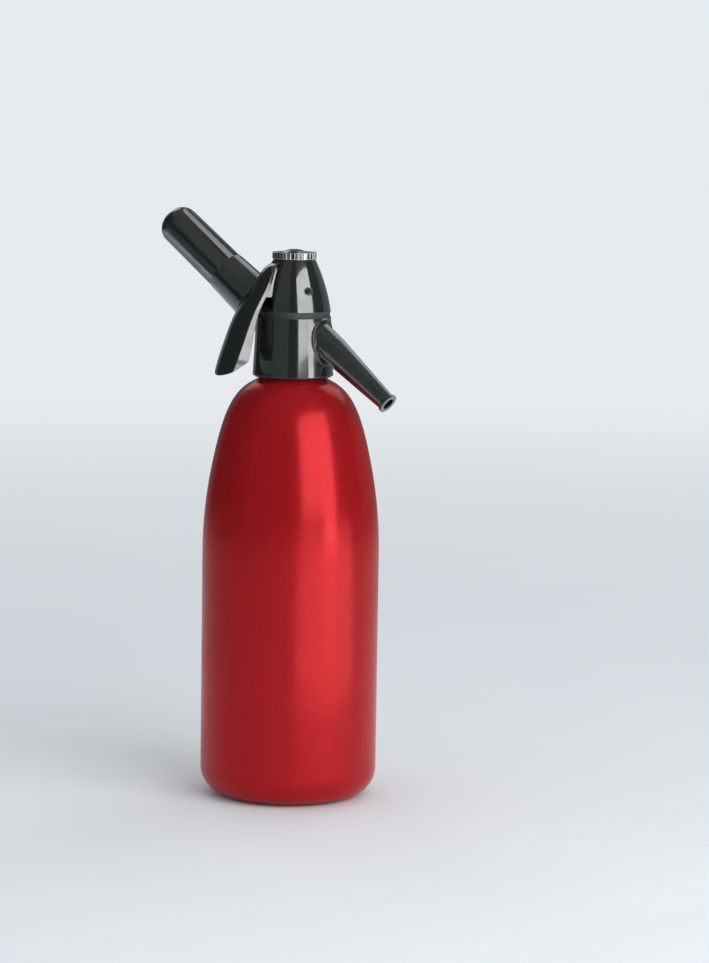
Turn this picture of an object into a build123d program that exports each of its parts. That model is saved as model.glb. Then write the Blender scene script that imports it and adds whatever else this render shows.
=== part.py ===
from build123d import *

import math
import os

# Soda siphon: a lacquered aluminium bottle with a screwed-on plastic head.
# Millimetres, +Z up, origin on the bottle's axis at the level that it stands on.
# The spout points along +X and the charger holder along -X.

# ---------------------------------------------------------------- clearances
RUN = 0.05  # radial clearance of a running fit
SEAT = 0.03  # radial clearance of a fixed fit
FACE = 0.05  # gap between flat faces that meet
OVERCUT = 1.0  # how far a cut runs past the face that it opens

# -------------------------------------------------------------------- bottle
BOTTLE_RADIUS = 47.0
BOTTLE_WALL = 1.6
BOTTLE_FLOOR = 2.2
BASE_CORNER = 14.5
BASE_RING_WIDTH = 3.5
PUNT_HEIGHT = 5.5
STRAIGHT_HEIGHT = 130.0
SHOULDER_HEIGHT = 92.8
SHOULDER_TOP_RADIUS = 18.4
NECK_RADIUS = 16.6
NECK_BORE = 13.7
NECK_HEIGHT = 9.2
NECK_BLEND = 1.4
# Shoulder curve: shares of the run inwards and of the rise above the straight wall.
SHOULDER_CURVE = (
    (0.0, 0.0),
    (0.067, 0.323),
    (0.224, 0.593),
    (0.402, 0.787),
    (0.560, 0.886),
    (0.787, 0.961),
    (1.0, 1.0),
)

SHOULDER_TOP = STRAIGHT_HEIGHT + SHOULDER_HEIGHT
NECK_TOP = SHOULDER_TOP + NECK_HEIGHT

# ---------------------------------------------------------------------- head
HEAD_GAP = 1.2
HEAD_BASE_RADIUS = 21.4
HEAD_WAIST_RADIUS = 19.6
HEAD_TOP_RADIUS = 11.1
HEAD_BULGE = 1.1
HEAD_LOWER_HEIGHT = 34.6
HEAD_UPPER_HEIGHT = 27.2
HEAD_WALL = 2.5
HEAD_TOP_WALL = 4.3
WAIST_GROOVE_HEIGHT = 3.4
WAIST_GROOVE_DEPTH = 0.45
WAIST_GROOVE_LIP = 0.3
HEAD_BASE_CHAMFER = 0.7
HEAD_TOP_FILLET = 0.4

HEAD_BASE = SHOULDER_TOP + HEAD_GAP
WAIST = HEAD_BASE + HEAD_LOWER_HEIGHT
HEAD_TOP = WAIST + HEAD_UPPER_HEIGHT

# ----------------------------------------------- threaded insert and gasket
INSERT_WALL = 1.95
INSERT_INSET = 1.0
INSERT_WEB = 2.5
GASKET_THICKNESS = 1.7
GASKET_CHAMFER = 0.2

INSERT_RADIUS = NECK_RADIUS + RUN + INSERT_WALL
GASKET_BASE = NECK_TOP + FACE
GASKET_TOP = GASKET_BASE + GASKET_THICKNESS
WEB_BASE = GASKET_TOP + FACE
WEB_TOP = WEB_BASE + INSERT_WEB

# ---------------------------------------------------- valve body on the axis
NOSE_RADIUS = 7.5
NOSE_LENGTH = 8.0
BODY_RADIUS = 8.0
BODY_FLANGE_RADIUS = 11.0
BODY_FLANGE = 2.0
GLAND_RADIUS = 3.4
GLAND_HEIGHT = 2.0
GAS_DUCT_RADIUS = 0.9
GAS_DUCT_OFFSET = 5.9
SEAL_CHAMBER_RADIUS = 4.2
SEAL_CHAMBER_HEIGHT = 6.4
SEAL_CHAMBER_FLOOR = 1.2
VALVE_BORE = 2.2
VALVE_SEAT = 1.6
WATER_CHAMBER_RADIUS = 3.2
WATER_CHAMBER_ROOF = 4.0
NUT_HEIGHT = 3.0
NUT_ACROSS_FLATS = 19.0

NOSE_BASE = WEB_BASE - NOSE_LENGTH
SEAL_CHAMBER_BASE = WEB_TOP + SEAL_CHAMBER_FLOOR
SEAT_FACE = SEAL_CHAMBER_BASE + SEAL_CHAMBER_HEIGHT
WATER_CHAMBER_BASE = SEAT_FACE + VALVE_SEAT

# ------------------------------------------------------------- tubes inside
RISER_RADIUS = 3.5
RISER_BORE = 2.4
RISER_FOOT_GAP = 7.0
RISER_FOOT_NOTCH = 1.6
RISER_STOP = 1.2
MEASURING_TUBE_WALL = 0.9
MEASURING_TUBE_LENGTH = 68.0
RISER_SEAL_WIRE = 0.9
RISER_SEAL_RISE = 6.0
GROOVE_PLAY = 0.1

RISER_FOOT = BOTTLE_FLOOR + PUNT_HEIGHT + RISER_FOOT_GAP
RISER_TOP = SEAL_CHAMBER_BASE - RISER_STOP
RISER_SEAL_Z = NOSE_BASE + RISER_SEAL_RISE
RISER_GROOVE_RADIUS = RISER_RADIUS + 2 * RISER_SEAL_WIRE + GROOVE_PLAY
RISER_GROOVE_BASE = RISER_SEAL_Z - RISER_SEAL_WIRE - GROOVE_PLAY
RISER_GROOVE_TOP = RISER_SEAL_Z + RISER_SEAL_WIRE + GROOVE_PLAY

# ------------------------------------------------------- plunger and spring
STEM_RADIUS = 1.5
STEM_HEAD_RADIUS = 2.7
STEM_HEAD = 1.2
SEAL_RADIUS = 3.5
SEAL_THICKNESS = 2.0
CAP_RADIUS = 6.5
CAP_THICKNESS = 1.3
CAP_HUB_RADIUS = 2.8
CAP_HUB_LENGTH = 2.5
CAP_STANDOFF = 2.45
SPRING_WIRE = 0.45
SPRING_RADIUS = 4.6
SPRING_TURNS = 4.5
ORING_WIRE = 0.7
GROOVE_WALL = 1.2

STEM_FOOT = SEAT_FACE - FACE - SEAL_THICKNESS - STEM_HEAD
STEM_GROOVE_RADIUS = STEM_RADIUS + RUN + 2 * ORING_WIRE + SEAT

# ------------------------------------------------------- top ring and dome
RING_RADIUS = 11.65
RING_HEIGHT = 3.7
RING_SKIRT_RADIUS = 7.25
RING_SKIRT_BORE = 5.6
RING_SKIRT_LENGTH = 3.3
RING_FLUTES = 34
RING_FLUTE_RADIUS = 0.55
RING_CHAMFER = 0.3
DOME_RADIUS = 7.0
DOME_SEAT = 0.35
DOME_SINK = 0.6
DOME_RISE = 1.5
DOME_FLAT = 2.2
DOME_CROWN = 9.0

CAVITY_TOP = HEAD_TOP - HEAD_TOP_WALL
RING_TOP = HEAD_TOP + RING_HEIGHT
DOME_BASE = HEAD_TOP + DOME_SEAT
DOME_TOP = RING_TOP + DOME_RISE

# --------------------------------------------------------------------- lever
LEVER_ANGLE = 240.0
PIVOT_HEIGHT = 45.7
PIN_RADIUS = 1.6
PIN_RECESS = 0.9
PIN_COUNTERSINK = 2.2
HUB_RADIUS = 4.0
NOSE_OFFSET = 5.0
NOSE_GAP = 0.15
ARM_TOP_HALF = 4.4
ARM_LOW_HALF = 8.6
ARM_RISE = 14.8
ARM_FALL = 9.2
ARM_ELBOW = (10.2, 10.0)
ARM_DEPTH = 1.8
ARM_SOLE = 3.0
SLOT_SIDE = 0.5
BLADE_THICKNESS = 2.3
BLADE_SIDE = 2.0
TIP_REACH = 43.7
TIP_DROP = 44.2
TIP_HALF = 10.3
TIP_CORNER = 5.0
END_CUT_ANGLE = 32.0

PIVOT_Z = HEAD_BASE + PIVOT_HEIGHT
SLOT_DEPTH = RING_SKIRT_RADIUS + RUN + HEAD_WALL

# Levels of the valve, which hang from the lever's pivot.
CAP_TOP = PIVOT_Z - HUB_RADIUS - NOSE_GAP
CAP_BASE = CAP_TOP - CAP_THICKNESS
GLAND_TOP = CAP_BASE - CAP_HUB_LENGTH - CAP_STANDOFF
BODY_TOP = GLAND_TOP - GLAND_HEIGHT
WATER_CHAMBER_TOP = BODY_TOP - WATER_CHAMBER_ROOF
STEM_GROOVE_BASE = WATER_CHAMBER_TOP + GROOVE_WALL
STEM_GROOVE_TOP = STEM_GROOVE_BASE + 2 * ORING_WIRE + GROOVE_PLAY
SPRING_BASE = BODY_TOP + SPRING_WIRE + SEAT
SPRING_RISE = CAP_BASE - SPRING_WIRE - SEAT - SPRING_BASE

# Blade stations: reach and drop of the crest from the pivot, slope of the crest
# below the horizontal, half width, crown height and depth of the side flank.
# The blade is solid at its root, and a channel from the next station to its end.
BLADE_ROOT = (
    (11.8, -14.3, 36.0, 4.4, 0.8, 1.5),
    (18.4, -8.6, 47.0, 7.6, 2.0, 1.5),
    (25.2, 1.3, 55.0, 9.6, 2.9, 2.0),
)
BLADE_CHANNEL = (
    (31.2, 10.4, 61.5, 11.0, 3.4, 2.5),
    (35.7, 20.2, 67.0, 11.8, 3.6, 4.2),
    (39.5, 30.6, 71.5, 11.9, 3.5, 5.8),
    (42.9, 41.2, 73.5, 11.2, 3.2, 7.2),
    (45.8, 51.2, 74.5, 10.2, 2.9, 8.3),
)

# --------------------------------------------------------------------- spout
SPOUT_SLOPE = 37.0
SPOUT_HEIGHT = 34.6
SPOUT_REACH = 75.6
SPOUT_SADDLE = 1.2
SPOUT_SHANK_START = 11.7
SPOUT_SOCKET_RADIUS = 6.0
SPOUT_SOCKET_START = 10.0
SPOUT_SOCKET_END = 16.6
SPOUT_PORT = 1.8
SPOUT_SHANK_RADIUS = 4.4
SPOUT_ROOT_RADIUS = 7.6
SPOUT_TAPER_START = 32.0
SPOUT_TIP_RADIUS = 4.75
SPOUT_BORE = 2.6
SPOUT_OUTLET_BORE = 3.3
SPOUT_OUTLET_LENGTH = 18.0
SPOUT_RIM_RADIUS = 5.5
SPOUT_RIM_LENGTH = 1.9
SPOUT_COLLAR = 1.9
SPOUT_COLLAR_RISE = 0.9
SPOUT_GROOVE_DEPTH = 2 * ORING_WIRE
SPOUT_GROOVE_START = SPOUT_SHANK_START + GROOVE_WALL
SPOUT_GROOVE_END = SPOUT_GROOVE_START + 2 * ORING_WIRE + GROOVE_PLAY

# ------------------------------------------------------------ charger holder
HOLDER_SLOPE = 36.6
HOLDER_HEIGHT = 20.8
BOSS_RADIUS = 12.4
BOSS_END = 31.2
HOLDER_GAP = 0.3
HOLDER_END_WALL = 1.8
HOLDER_DOME = 9.8
GRIP_START = 54.4
GRIP_RADIUS = 11.35
GRIP_TIP_RADIUS = 10.9
GRIP_FLUTES = 10
GRIP_FLUTE_TURN = 22.3
FLUTE_DEPTH = 0.9
FLUTE_RADIUS = 17.6
PIERCER_RADIUS = 10.0
PIERCER_END = 40.0
PIERCER_WAIST = 6.3
PIERCER_WAIST_START = 15.3
PIERCER_WAIST_END = 27.0
PIERCER_SPIGOT = 3.5
PIERCER_SPIGOT_START = 8.6
INSERT_SLEEVE = 1.1
HOLDER_INSERT_INSET = 0.3
HOLDER_POCKET_GAP = 1.2

# ---------------------------------------------------------------- CO2 charger
CHARGER_RADIUS = 9.3
CHARGER_LENGTH = 65.0
CHARGER_WALL = 1.3
CHARGER_NECK_RADIUS = 4.3
CHARGER_NECK_LENGTH = 8.6
CHARGER_TAPER = 7.0
CHARGER_START = 34.6
CHARGER_PLAY = 0.3
PIERCING_BORE = 0.9
NEEDLE_RADIUS = 0.82
NEEDLE_DEPTH = 2.6
PIN_BODY_RADIUS = 2.0
PIN_BODY_LENGTH = 8.0
NECK_SOCKET = 4.9
NECK_SOCKET_DEPTH = 2.4
CHECK_CHAMBER_RADIUS = 3.0
CHECK_CHAMBER_LENGTH = 5.0
CHECK_RADIUS = 2.7
CHECK_LIP = 1.2
CHECK_STEM = 1.0
GAS_BORE = 1.2
NEEDLE_BORE = 0.35

HOLDER_MOUTH = BOSS_END + HOLDER_GAP
HOLDER_POCKET = PIERCER_RADIUS + RUN + INSERT_SLEEVE + SEAT
HOLDER_POCKET_END = PIERCER_END + HOLDER_POCKET_GAP
HOLDER_BORE = CHARGER_RADIUS + CHARGER_PLAY
HOLDER_END = CHARGER_START + CHARGER_LENGTH + CHARGER_PLAY + HOLDER_END_WALL
HOLDER_ROUND = HOLDER_END - HOLDER_DOME
CHARGER_ROUND = CHARGER_START + CHARGER_LENGTH - CHARGER_RADIUS
SOCKET_FLOOR = CHARGER_START - NECK_SOCKET_DEPTH
PIN_BODY_START = SOCKET_FLOOR - PIN_BODY_LENGTH
CHECK_END = PIN_BODY_START - GAS_BORE
CHECK_START = CHECK_END - CHECK_CHAMBER_LENGTH
GAS_MEETING = GAS_DUCT_OFFSET / math.cos(math.radians(HOLDER_SLOPE))
GAS_DUCT_TOP = HEAD_BASE + HOLDER_HEIGHT + GAS_DUCT_OFFSET * math.tan(math.radians(HOLDER_SLOPE))


# ------------------------------------------------------------------- frames
def direction(azimuth, slope):
    """Unit vector at an azimuth about Z and a slope above the horizontal, in degrees."""
    level = math.cos(math.radians(slope))
    return Vector(
        level * math.cos(math.radians(azimuth)),
        level * math.sin(math.radians(azimuth)),
        math.sin(math.radians(slope)),
    )


def turning_plane(axis):
    """Plane through an axis in the XZ plane: local X is the radius, local Y the axis."""
    along = axis.direction
    return Plane(origin=axis.position, x_dir=(along.Z, 0, -along.X), z_dir=(0, -1, 0))


def cross_plane(axis):
    """Plane across an axis at its origin."""
    return Plane(origin=axis.position, z_dir=axis.direction)


def turned(points, axis, mode=Mode.ADD):
    """Solid of revolution from (radius, distance along the axis) points."""
    with BuildSketch(turning_plane(axis)) as section:
        with BuildLine():
            Polyline(*points, close=True)
        make_face()
    revolve(section.sketch, axis=axis, mode=mode)


def ring(inner, outer, start, end):
    """Section of a ring: two radii, then two distances along its axis."""
    return ((inner, start), (outer, start), (outer, end), (inner, end))


MAIN_AXIS = Axis.Z
SPOUT_AXIS = Axis((0, 0, HEAD_BASE + SPOUT_HEIGHT), direction(0, -SPOUT_SLOPE))
HOLDER_AXIS = Axis((0, 0, HEAD_BASE + HOLDER_HEIGHT), direction(180, HOLDER_SLOPE))
LEVER_OUT = direction(LEVER_ANGLE, 0)
PIN_DIRECTION = direction(LEVER_ANGLE - 90, 0)
PORT_FOOT = Vector(0, 0, (WATER_CHAMBER_BASE + WATER_CHAMBER_TOP) / 2)
PORT_RUN = SPOUT_AXIS.position + SPOUT_AXIS.direction * SPOUT_SHANK_START - PORT_FOOT
PORT_AXIS = Axis(PORT_FOOT, PORT_RUN)
PORT_LENGTH = PORT_RUN.length
PIVOT = Vector(0, 0, PIVOT_Z)
LEVER_SIDE = Plane(origin=PIVOT, x_dir=LEVER_OUT, z_dir=PIN_DIRECTION)
LEVER_FRONT = Plane(origin=PIVOT, x_dir=-PIN_DIRECTION, z_dir=LEVER_OUT)


# ------------------------------------------------------------------- bottle
def bottle_section(radius, corner, base, shoulder_radius, neck, rim):
    """Half section of a bottle: its own skin, or the space inside it."""
    run = radius - shoulder_radius
    standing = radius - corner - BASE_RING_WIDTH
    shoulder = [
        (radius - inwards * run, STRAIGHT_HEIGHT + up * SHOULDER_HEIGHT)
        for inwards, up in SHOULDER_CURVE
    ]
    with BuildSketch(Plane.XZ) as section:
        with BuildLine():
            Line((standing, base), (radius - corner, base))
            RadiusArc((radius - corner, base), (radius, base + corner), -corner)
            Line((radius, base + corner), (radius, STRAIGHT_HEIGHT))
            Spline(*shoulder, tangents=((0, 1), (-0.86, 0.5)))
            Polyline(
                (shoulder_radius, SHOULDER_TOP),
                (neck, SHOULDER_TOP + NECK_BLEND),
                (neck, rim),
                (0, rim),
                (0, base + PUNT_HEIGHT),
            )
            ThreePointArc(
                (0, base + PUNT_HEIGHT),
                (0.55 * standing, base + 0.68 * PUNT_HEIGHT),
                (standing, base),
            )
        make_face()
    return section.sketch


with BuildPart() as bottle:
    revolve(
        bottle_section(
            BOTTLE_RADIUS, BASE_CORNER, 0, SHOULDER_TOP_RADIUS, NECK_RADIUS, NECK_TOP
        ),
        axis=MAIN_AXIS,
    )
    revolve(
        bottle_section(
            BOTTLE_RADIUS - BOTTLE_WALL,
            BASE_CORNER - BOTTLE_WALL,
            BOTTLE_FLOOR,
            SHOULDER_TOP_RADIUS - 1.5 * BOTTLE_WALL,
            NECK_BORE,
            NECK_TOP + OVERCUT,
        ),
        axis=MAIN_AXIS,
        mode=Mode.SUBTRACT,
    )
bottle.part.label = "bottle"

with BuildPart() as neck_gasket:
    turned(ring(NECK_BORE, NECK_RADIUS, GASKET_BASE, GASKET_TOP), MAIN_AXIS)
    chamfer(neck_gasket.edges(), GASKET_CHAMFER)
neck_gasket.part.label = "neck_gasket"


# -------------------------------------------------------------- head casing
def head_section(inset, base, top):
    """Half section of the head's outer form, or of a form inside it when it is inset."""
    waist_radius = HEAD_WAIST_RADIUS - inset
    slope = (HEAD_TOP_RADIUS - HEAD_WAIST_RADIUS) / HEAD_UPPER_HEIGHT
    top_end = HEAD_TOP_RADIUS - inset + (top - HEAD_TOP) * slope
    middle = (waist_radius + top_end) / 2 + HEAD_BULGE
    taper = (HEAD_BASE_RADIUS - HEAD_WAIST_RADIUS) / HEAD_LOWER_HEIGHT
    base_end = HEAD_BASE_RADIUS - inset - (base - HEAD_BASE) * taper
    with BuildSketch(Plane.XZ) as section:
        with BuildLine():
            Polyline((top_end, top), (0, top), (0, base), (base_end, base), (waist_radius, WAIST))
            ThreePointArc((waist_radius, WAIST), (middle, (WAIST + top) / 2), (top_end, top))
        make_face()
    return section.sketch


def arm_outline(plane, side):
    """Front outline of the lever's arm, or of its slot when it gains a side clearance."""
    with BuildSketch(plane) as outline:
        with BuildLine():
            Polyline(
                (-ARM_TOP_HALF - side, ARM_RISE),
                (-ARM_LOW_HALF - side, -ARM_FALL),
                (ARM_LOW_HALF + side, -ARM_FALL),
                (ARM_TOP_HALF + side, ARM_RISE),
                close=True,
            )
        make_face()
    return outline.sketch


# Raised collar round the spout's root, a skin that follows the head's surface.
with BuildPart() as spout_collar:
    with BuildSketch(cross_plane(SPOUT_AXIS)):
        Circle(SPOUT_ROOT_RADIUS + SPOUT_COLLAR)
    extrude(amount=2 * HEAD_BASE_RADIUS)
    revolve(
        head_section(-SPOUT_COLLAR_RISE, HEAD_BASE, HEAD_TOP),
        axis=MAIN_AXIS,
        mode=Mode.INTERSECT,
    )

# Recess in the head's wall that seats the spout's root, and follows the wall's curve.
with BuildPart() as spout_recess:
    turned(ring(0, SPOUT_ROOT_RADIUS + SEAT, 0, SPOUT_REACH), SPOUT_AXIS)
    revolve(
        head_section(SPOUT_SADDLE, HEAD_BASE, HEAD_TOP), axis=MAIN_AXIS, mode=Mode.SUBTRACT
    )

# Countersinks of the lever pin: a wide bore with the pin's own length left solid.
with BuildPart() as pin_countersink:
    with BuildSketch(LEVER_SIDE):
        Circle(PIN_COUNTERSINK)
    extrude(amount=2 * HEAD_BASE_RADIUS, both=True)
    revolve(
        head_section(PIN_RECESS, HEAD_BASE, HEAD_TOP), axis=MAIN_AXIS, mode=Mode.SUBTRACT
    )

with BuildPart() as head_casing:
    revolve(head_section(0, HEAD_BASE, HEAD_TOP), axis=MAIN_AXIS)
    chamfer(head_casing.edges().group_by(Axis.Z)[0], HEAD_BASE_CHAMFER)
    fillet(head_casing.edges().group_by(Axis.Z)[-1], HEAD_TOP_FILLET)
    # Soft groove round the waist, where the tapered skirt meets the ogive.
    with BuildSketch(Plane.XZ):
        with BuildLine():
            groove = ThreePointArc(
                (HEAD_WAIST_RADIUS + WAIST_GROOVE_LIP, WAIST - WAIST_GROOVE_HEIGHT),
                (HEAD_WAIST_RADIUS - WAIST_GROOVE_DEPTH, WAIST - 0.45 * WAIST_GROOVE_HEIGHT),
                (HEAD_WAIST_RADIUS + WAIST_GROOVE_LIP, WAIST + 0.1 * WAIST_GROOVE_HEIGHT),
            )
            Line(groove @ 1, groove @ 0)
        make_face()
    revolve(axis=MAIN_AXIS, mode=Mode.SUBTRACT)
    add(spout_collar.part)
    turned(ring(0, BOSS_RADIUS, 0, BOSS_END), HOLDER_AXIS)
    # Inside: bore of the neck insert, cavity of the lever, thread of the top ring.
    turned(
        ring(0, INSERT_RADIUS + SEAT, HEAD_BASE - OVERCUT, WEB_TOP), MAIN_AXIS, Mode.SUBTRACT
    )
    revolve(head_section(HEAD_WALL, WEB_TOP, CAVITY_TOP), axis=MAIN_AXIS, mode=Mode.SUBTRACT)
    turned(
        ring(0, RING_SKIRT_RADIUS + RUN, WEB_TOP, HEAD_TOP + OVERCUT),
        MAIN_AXIS,
        Mode.SUBTRACT,
    )
    # Slot of the lever: open to the cavity, with a pocket above it under the ring.
    extrude(
        arm_outline(LEVER_FRONT.offset(SLOT_DEPTH), SLOT_SIDE),
        amount=HEAD_BASE_RADIUS,
        mode=Mode.SUBTRACT,
    )
    # Ways through the wall for the spout, the piercer and the lever pin.
    turned(
        ring(0, SPOUT_SHANK_RADIUS + SEAT, SPOUT_SOCKET_END, SPOUT_REACH),
        SPOUT_AXIS,
        Mode.SUBTRACT,
    )
    add(spout_recess.part, mode=Mode.SUBTRACT)
    turned(
        (
            (0, PIERCER_WAIST_START),
            (PIERCER_WAIST + SEAT, PIERCER_WAIST_START),
            (PIERCER_WAIST + SEAT, PIERCER_WAIST_END - SEAT),
            (PIERCER_RADIUS + SEAT, PIERCER_WAIST_END - SEAT),
            (PIERCER_RADIUS + SEAT, PIERCER_END),
            (0, PIERCER_END),
        ),
        HOLDER_AXIS,
        Mode.SUBTRACT,
    )
    with BuildSketch(LEVER_SIDE):
        Circle(PIN_RADIUS + SEAT)
    extrude(amount=HEAD_BASE_RADIUS, both=True, mode=Mode.SUBTRACT)
    add(pin_countersink.part, mode=Mode.SUBTRACT)
head_casing.part.label = "head_casing"

with BuildPart() as neck_insert:
    turned(
        (
            (NECK_RADIUS + RUN, HEAD_BASE + INSERT_INSET),
            (INSERT_RADIUS, HEAD_BASE + INSERT_INSET),
            (INSERT_RADIUS, WEB_TOP),
            (NOSE_RADIUS + SEAT, WEB_TOP),
            (NOSE_RADIUS + SEAT, WEB_BASE),
            (NECK_RADIUS + RUN, WEB_BASE),
        ),
        MAIN_AXIS,
    )
neck_insert.part.label = "neck_insert"

# --------------------------------------------------------- valve and tubes
with BuildPart() as valve_body:
    turned(
        (
            (0, NOSE_BASE),
            (NOSE_RADIUS, NOSE_BASE),
            (NOSE_RADIUS, WEB_TOP),
            (BODY_FLANGE_RADIUS, WEB_TOP),
            (BODY_FLANGE_RADIUS, WEB_TOP + BODY_FLANGE),
            (BODY_RADIUS, WEB_TOP + BODY_FLANGE),
            (BODY_RADIUS, BODY_TOP),
            (GLAND_RADIUS, BODY_TOP),
            (GLAND_RADIUS, GLAND_TOP),
            (0, GLAND_TOP),
        ),
        MAIN_AXIS,
    )
    turned(ring(0, SPOUT_SOCKET_RADIUS, SPOUT_SOCKET_START, SPOUT_SOCKET_END), SPOUT_AXIS)
    # Water way: riser socket, seal chamber, seat, upper chamber and stem bore.
    turned(
        (
            (0, NOSE_BASE - OVERCUT),
            (RISER_RADIUS + SEAT, NOSE_BASE - OVERCUT),
            (RISER_RADIUS + SEAT, RISER_TOP),
            (RISER_BORE, RISER_TOP),
            (RISER_BORE, SEAL_CHAMBER_BASE),
            (SEAL_CHAMBER_RADIUS, SEAL_CHAMBER_BASE),
            (SEAL_CHAMBER_RADIUS, SEAT_FACE),
            (VALVE_BORE, SEAT_FACE),
            (VALVE_BORE, WATER_CHAMBER_BASE),
            (WATER_CHAMBER_RADIUS, WATER_CHAMBER_BASE),
            (WATER_CHAMBER_RADIUS, WATER_CHAMBER_TOP),
            (STEM_RADIUS + RUN, WATER_CHAMBER_TOP),
            (STEM_RADIUS + RUN, GLAND_TOP + OVERCUT),
            (0, GLAND_TOP + OVERCUT),
        ),
        MAIN_AXIS,
        Mode.SUBTRACT,
    )
    # Grooves of the stem's O-ring and of the riser's seal.
    turned(
        ring(STEM_RADIUS, STEM_GROOVE_RADIUS, STEM_GROOVE_BASE, STEM_GROOVE_TOP),
        MAIN_AXIS,
        Mode.SUBTRACT,
    )
    turned(
        ring(RISER_RADIUS, RISER_GROOVE_RADIUS, RISER_GROOVE_BASE, RISER_GROOVE_TOP),
        MAIN_AXIS,
        Mode.SUBTRACT,
    )
    # Socket of the spout, and the port to it from the middle of the upper chamber.
    turned(
        ring(
            0,
            SPOUT_SHANK_RADIUS + SEAT,
            SPOUT_SHANK_START - SEAT,
            SPOUT_SOCKET_END + OVERCUT,
        ),
        SPOUT_AXIS,
        Mode.SUBTRACT,
    )
    turned(ring(0, SPOUT_PORT, 0, PORT_LENGTH), PORT_AXIS, Mode.SUBTRACT)
    # Socket of the piercer, and the gas way down beside the riser.
    turned(
        ring(0, PIERCER_SPIGOT + SEAT, PIERCER_SPIGOT_START, PIERCER_WAIST_START + OVERCUT),
        HOLDER_AXIS,
        Mode.SUBTRACT,
    )
    turned(
        ring(0, GAS_BORE, GAS_MEETING, PIERCER_SPIGOT_START + OVERCUT),
        HOLDER_AXIS,
        Mode.SUBTRACT,
    )
    with BuildSketch(Plane.XY.offset(NOSE_BASE)):
        with Locations((-GAS_DUCT_OFFSET, 0)):
            Circle(GAS_DUCT_RADIUS)
    extrude(amount=GAS_DUCT_TOP - NOSE_BASE, mode=Mode.SUBTRACT)
valve_body.part.label = "valve_body"

with BuildPart() as valve_body_nut:
    with BuildSketch(Plane.XY.offset(WEB_BASE - NUT_HEIGHT)):
        RegularPolygon(NUT_ACROSS_FLATS / 2, 6, major_radius=False)
        Circle(NOSE_RADIUS + SEAT, mode=Mode.SUBTRACT)
    extrude(amount=NUT_HEIGHT)
valve_body_nut.part.label = "valve_body_nut"

with BuildPart() as riser_tube:
    turned(ring(RISER_BORE, RISER_RADIUS, RISER_FOOT, RISER_TOP), MAIN_AXIS)
    # Notches that keep the foot from sealing on the bottle's floor.
    with BuildSketch(Plane.XY.offset(RISER_FOOT)):
        Rectangle(3 * RISER_RADIUS, RISER_FOOT_NOTCH)
        Rectangle(RISER_FOOT_NOTCH, 3 * RISER_RADIUS)
    extrude(amount=RISER_FOOT_NOTCH, mode=Mode.SUBTRACT)
riser_tube.part.label = "riser_tube"

with BuildPart() as riser_seal:
    with BuildSketch(Plane.XZ):
        with Locations((RISER_RADIUS + SEAT + RISER_SEAL_WIRE, RISER_SEAL_Z)):
            Circle(RISER_SEAL_WIRE)
    revolve(axis=MAIN_AXIS)
riser_seal.part.label = "riser_seal"

with BuildPart() as measuring_tube:
    turned(
        ring(
            NOSE_RADIUS + SEAT,
            NOSE_RADIUS + SEAT + MEASURING_TUBE_WALL,
            WEB_BASE - NUT_HEIGHT - MEASURING_TUBE_LENGTH,
            WEB_BASE - NUT_HEIGHT,
        ),
        MAIN_AXIS,
    )
measuring_tube.part.label = "measuring_tube"

with BuildPart() as valve_plunger:
    turned(
        (
            (0, STEM_FOOT),
            (STEM_HEAD_RADIUS, STEM_FOOT),
            (STEM_HEAD_RADIUS, STEM_FOOT + STEM_HEAD),
            (STEM_RADIUS, STEM_FOOT + STEM_HEAD),
            (STEM_RADIUS, CAP_BASE),
            (0, CAP_BASE),
        ),
        MAIN_AXIS,
    )
valve_plunger.part.label = "valve_plunger"

with BuildPart() as valve_seal:
    turned(
        ring(STEM_RADIUS + SEAT, SEAL_RADIUS, STEM_FOOT + STEM_HEAD, SEAT_FACE - FACE),
        MAIN_AXIS,
    )
valve_seal.part.label = "valve_seal"

with BuildPart() as plunger_cap:
    turned(
        (
            (0, CAP_TOP),
            (CAP_RADIUS, CAP_TOP),
            (CAP_RADIUS, CAP_BASE),
            (CAP_HUB_RADIUS, CAP_BASE),
            (CAP_HUB_RADIUS, CAP_BASE - CAP_HUB_LENGTH),
            (STEM_RADIUS + SEAT, CAP_BASE - CAP_HUB_LENGTH),
            (STEM_RADIUS + SEAT, CAP_BASE),
            (0, CAP_BASE),
        ),
        MAIN_AXIS,
    )
plunger_cap.part.label = "plunger_cap"

with BuildPart() as stem_oring:
    with BuildSketch(Plane.XZ):
        with Locations(
            (STEM_RADIUS + RUN + ORING_WIRE, (STEM_GROOVE_BASE + STEM_GROOVE_TOP) / 2)
        ):
            Circle(ORING_WIRE)
    revolve(axis=MAIN_AXIS)
stem_oring.part.label = "stem_oring"

with BuildPart() as valve_spring:
    with BuildLine(Plane.XY.offset(SPRING_BASE)):
        Helix(SPRING_RISE / SPRING_TURNS, SPRING_RISE, SPRING_RADIUS)
    with BuildSketch(Plane(origin=(SPRING_RADIUS, 0, SPRING_BASE), z_dir=(0, 1, 0))):
        Circle(SPRING_WIRE)
    sweep(is_frenet=True)
valve_spring.part.label = "valve_spring"


# -------------------------------------------------------------------- lever
def blade_plane(station):
    """Plane across the blade's crest: local X is its width, local Y its outside."""
    reach, drop, slope = station[:3]
    return Plane(
        origin=PIVOT + LEVER_OUT * reach - Vector(0, 0, drop),
        x_dir=-PIN_DIRECTION,
        z_dir=direction(LEVER_ANGLE, -slope),
    )


def blade_section(station):
    """Solid cross-section of the blade: a crowned back with a flank at each side."""
    half, crown, flank = station[3:]
    with BuildSketch(blade_plane(station)) as section:
        with BuildLine():
            ThreePointArc((-half, -crown), (0, 0), (half, -crown))
            Polyline(
                (half, -crown), (half, -crown - flank), (-half, -crown - flank), (-half, -crown)
            )
        make_face()
    return section.sketch


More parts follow.
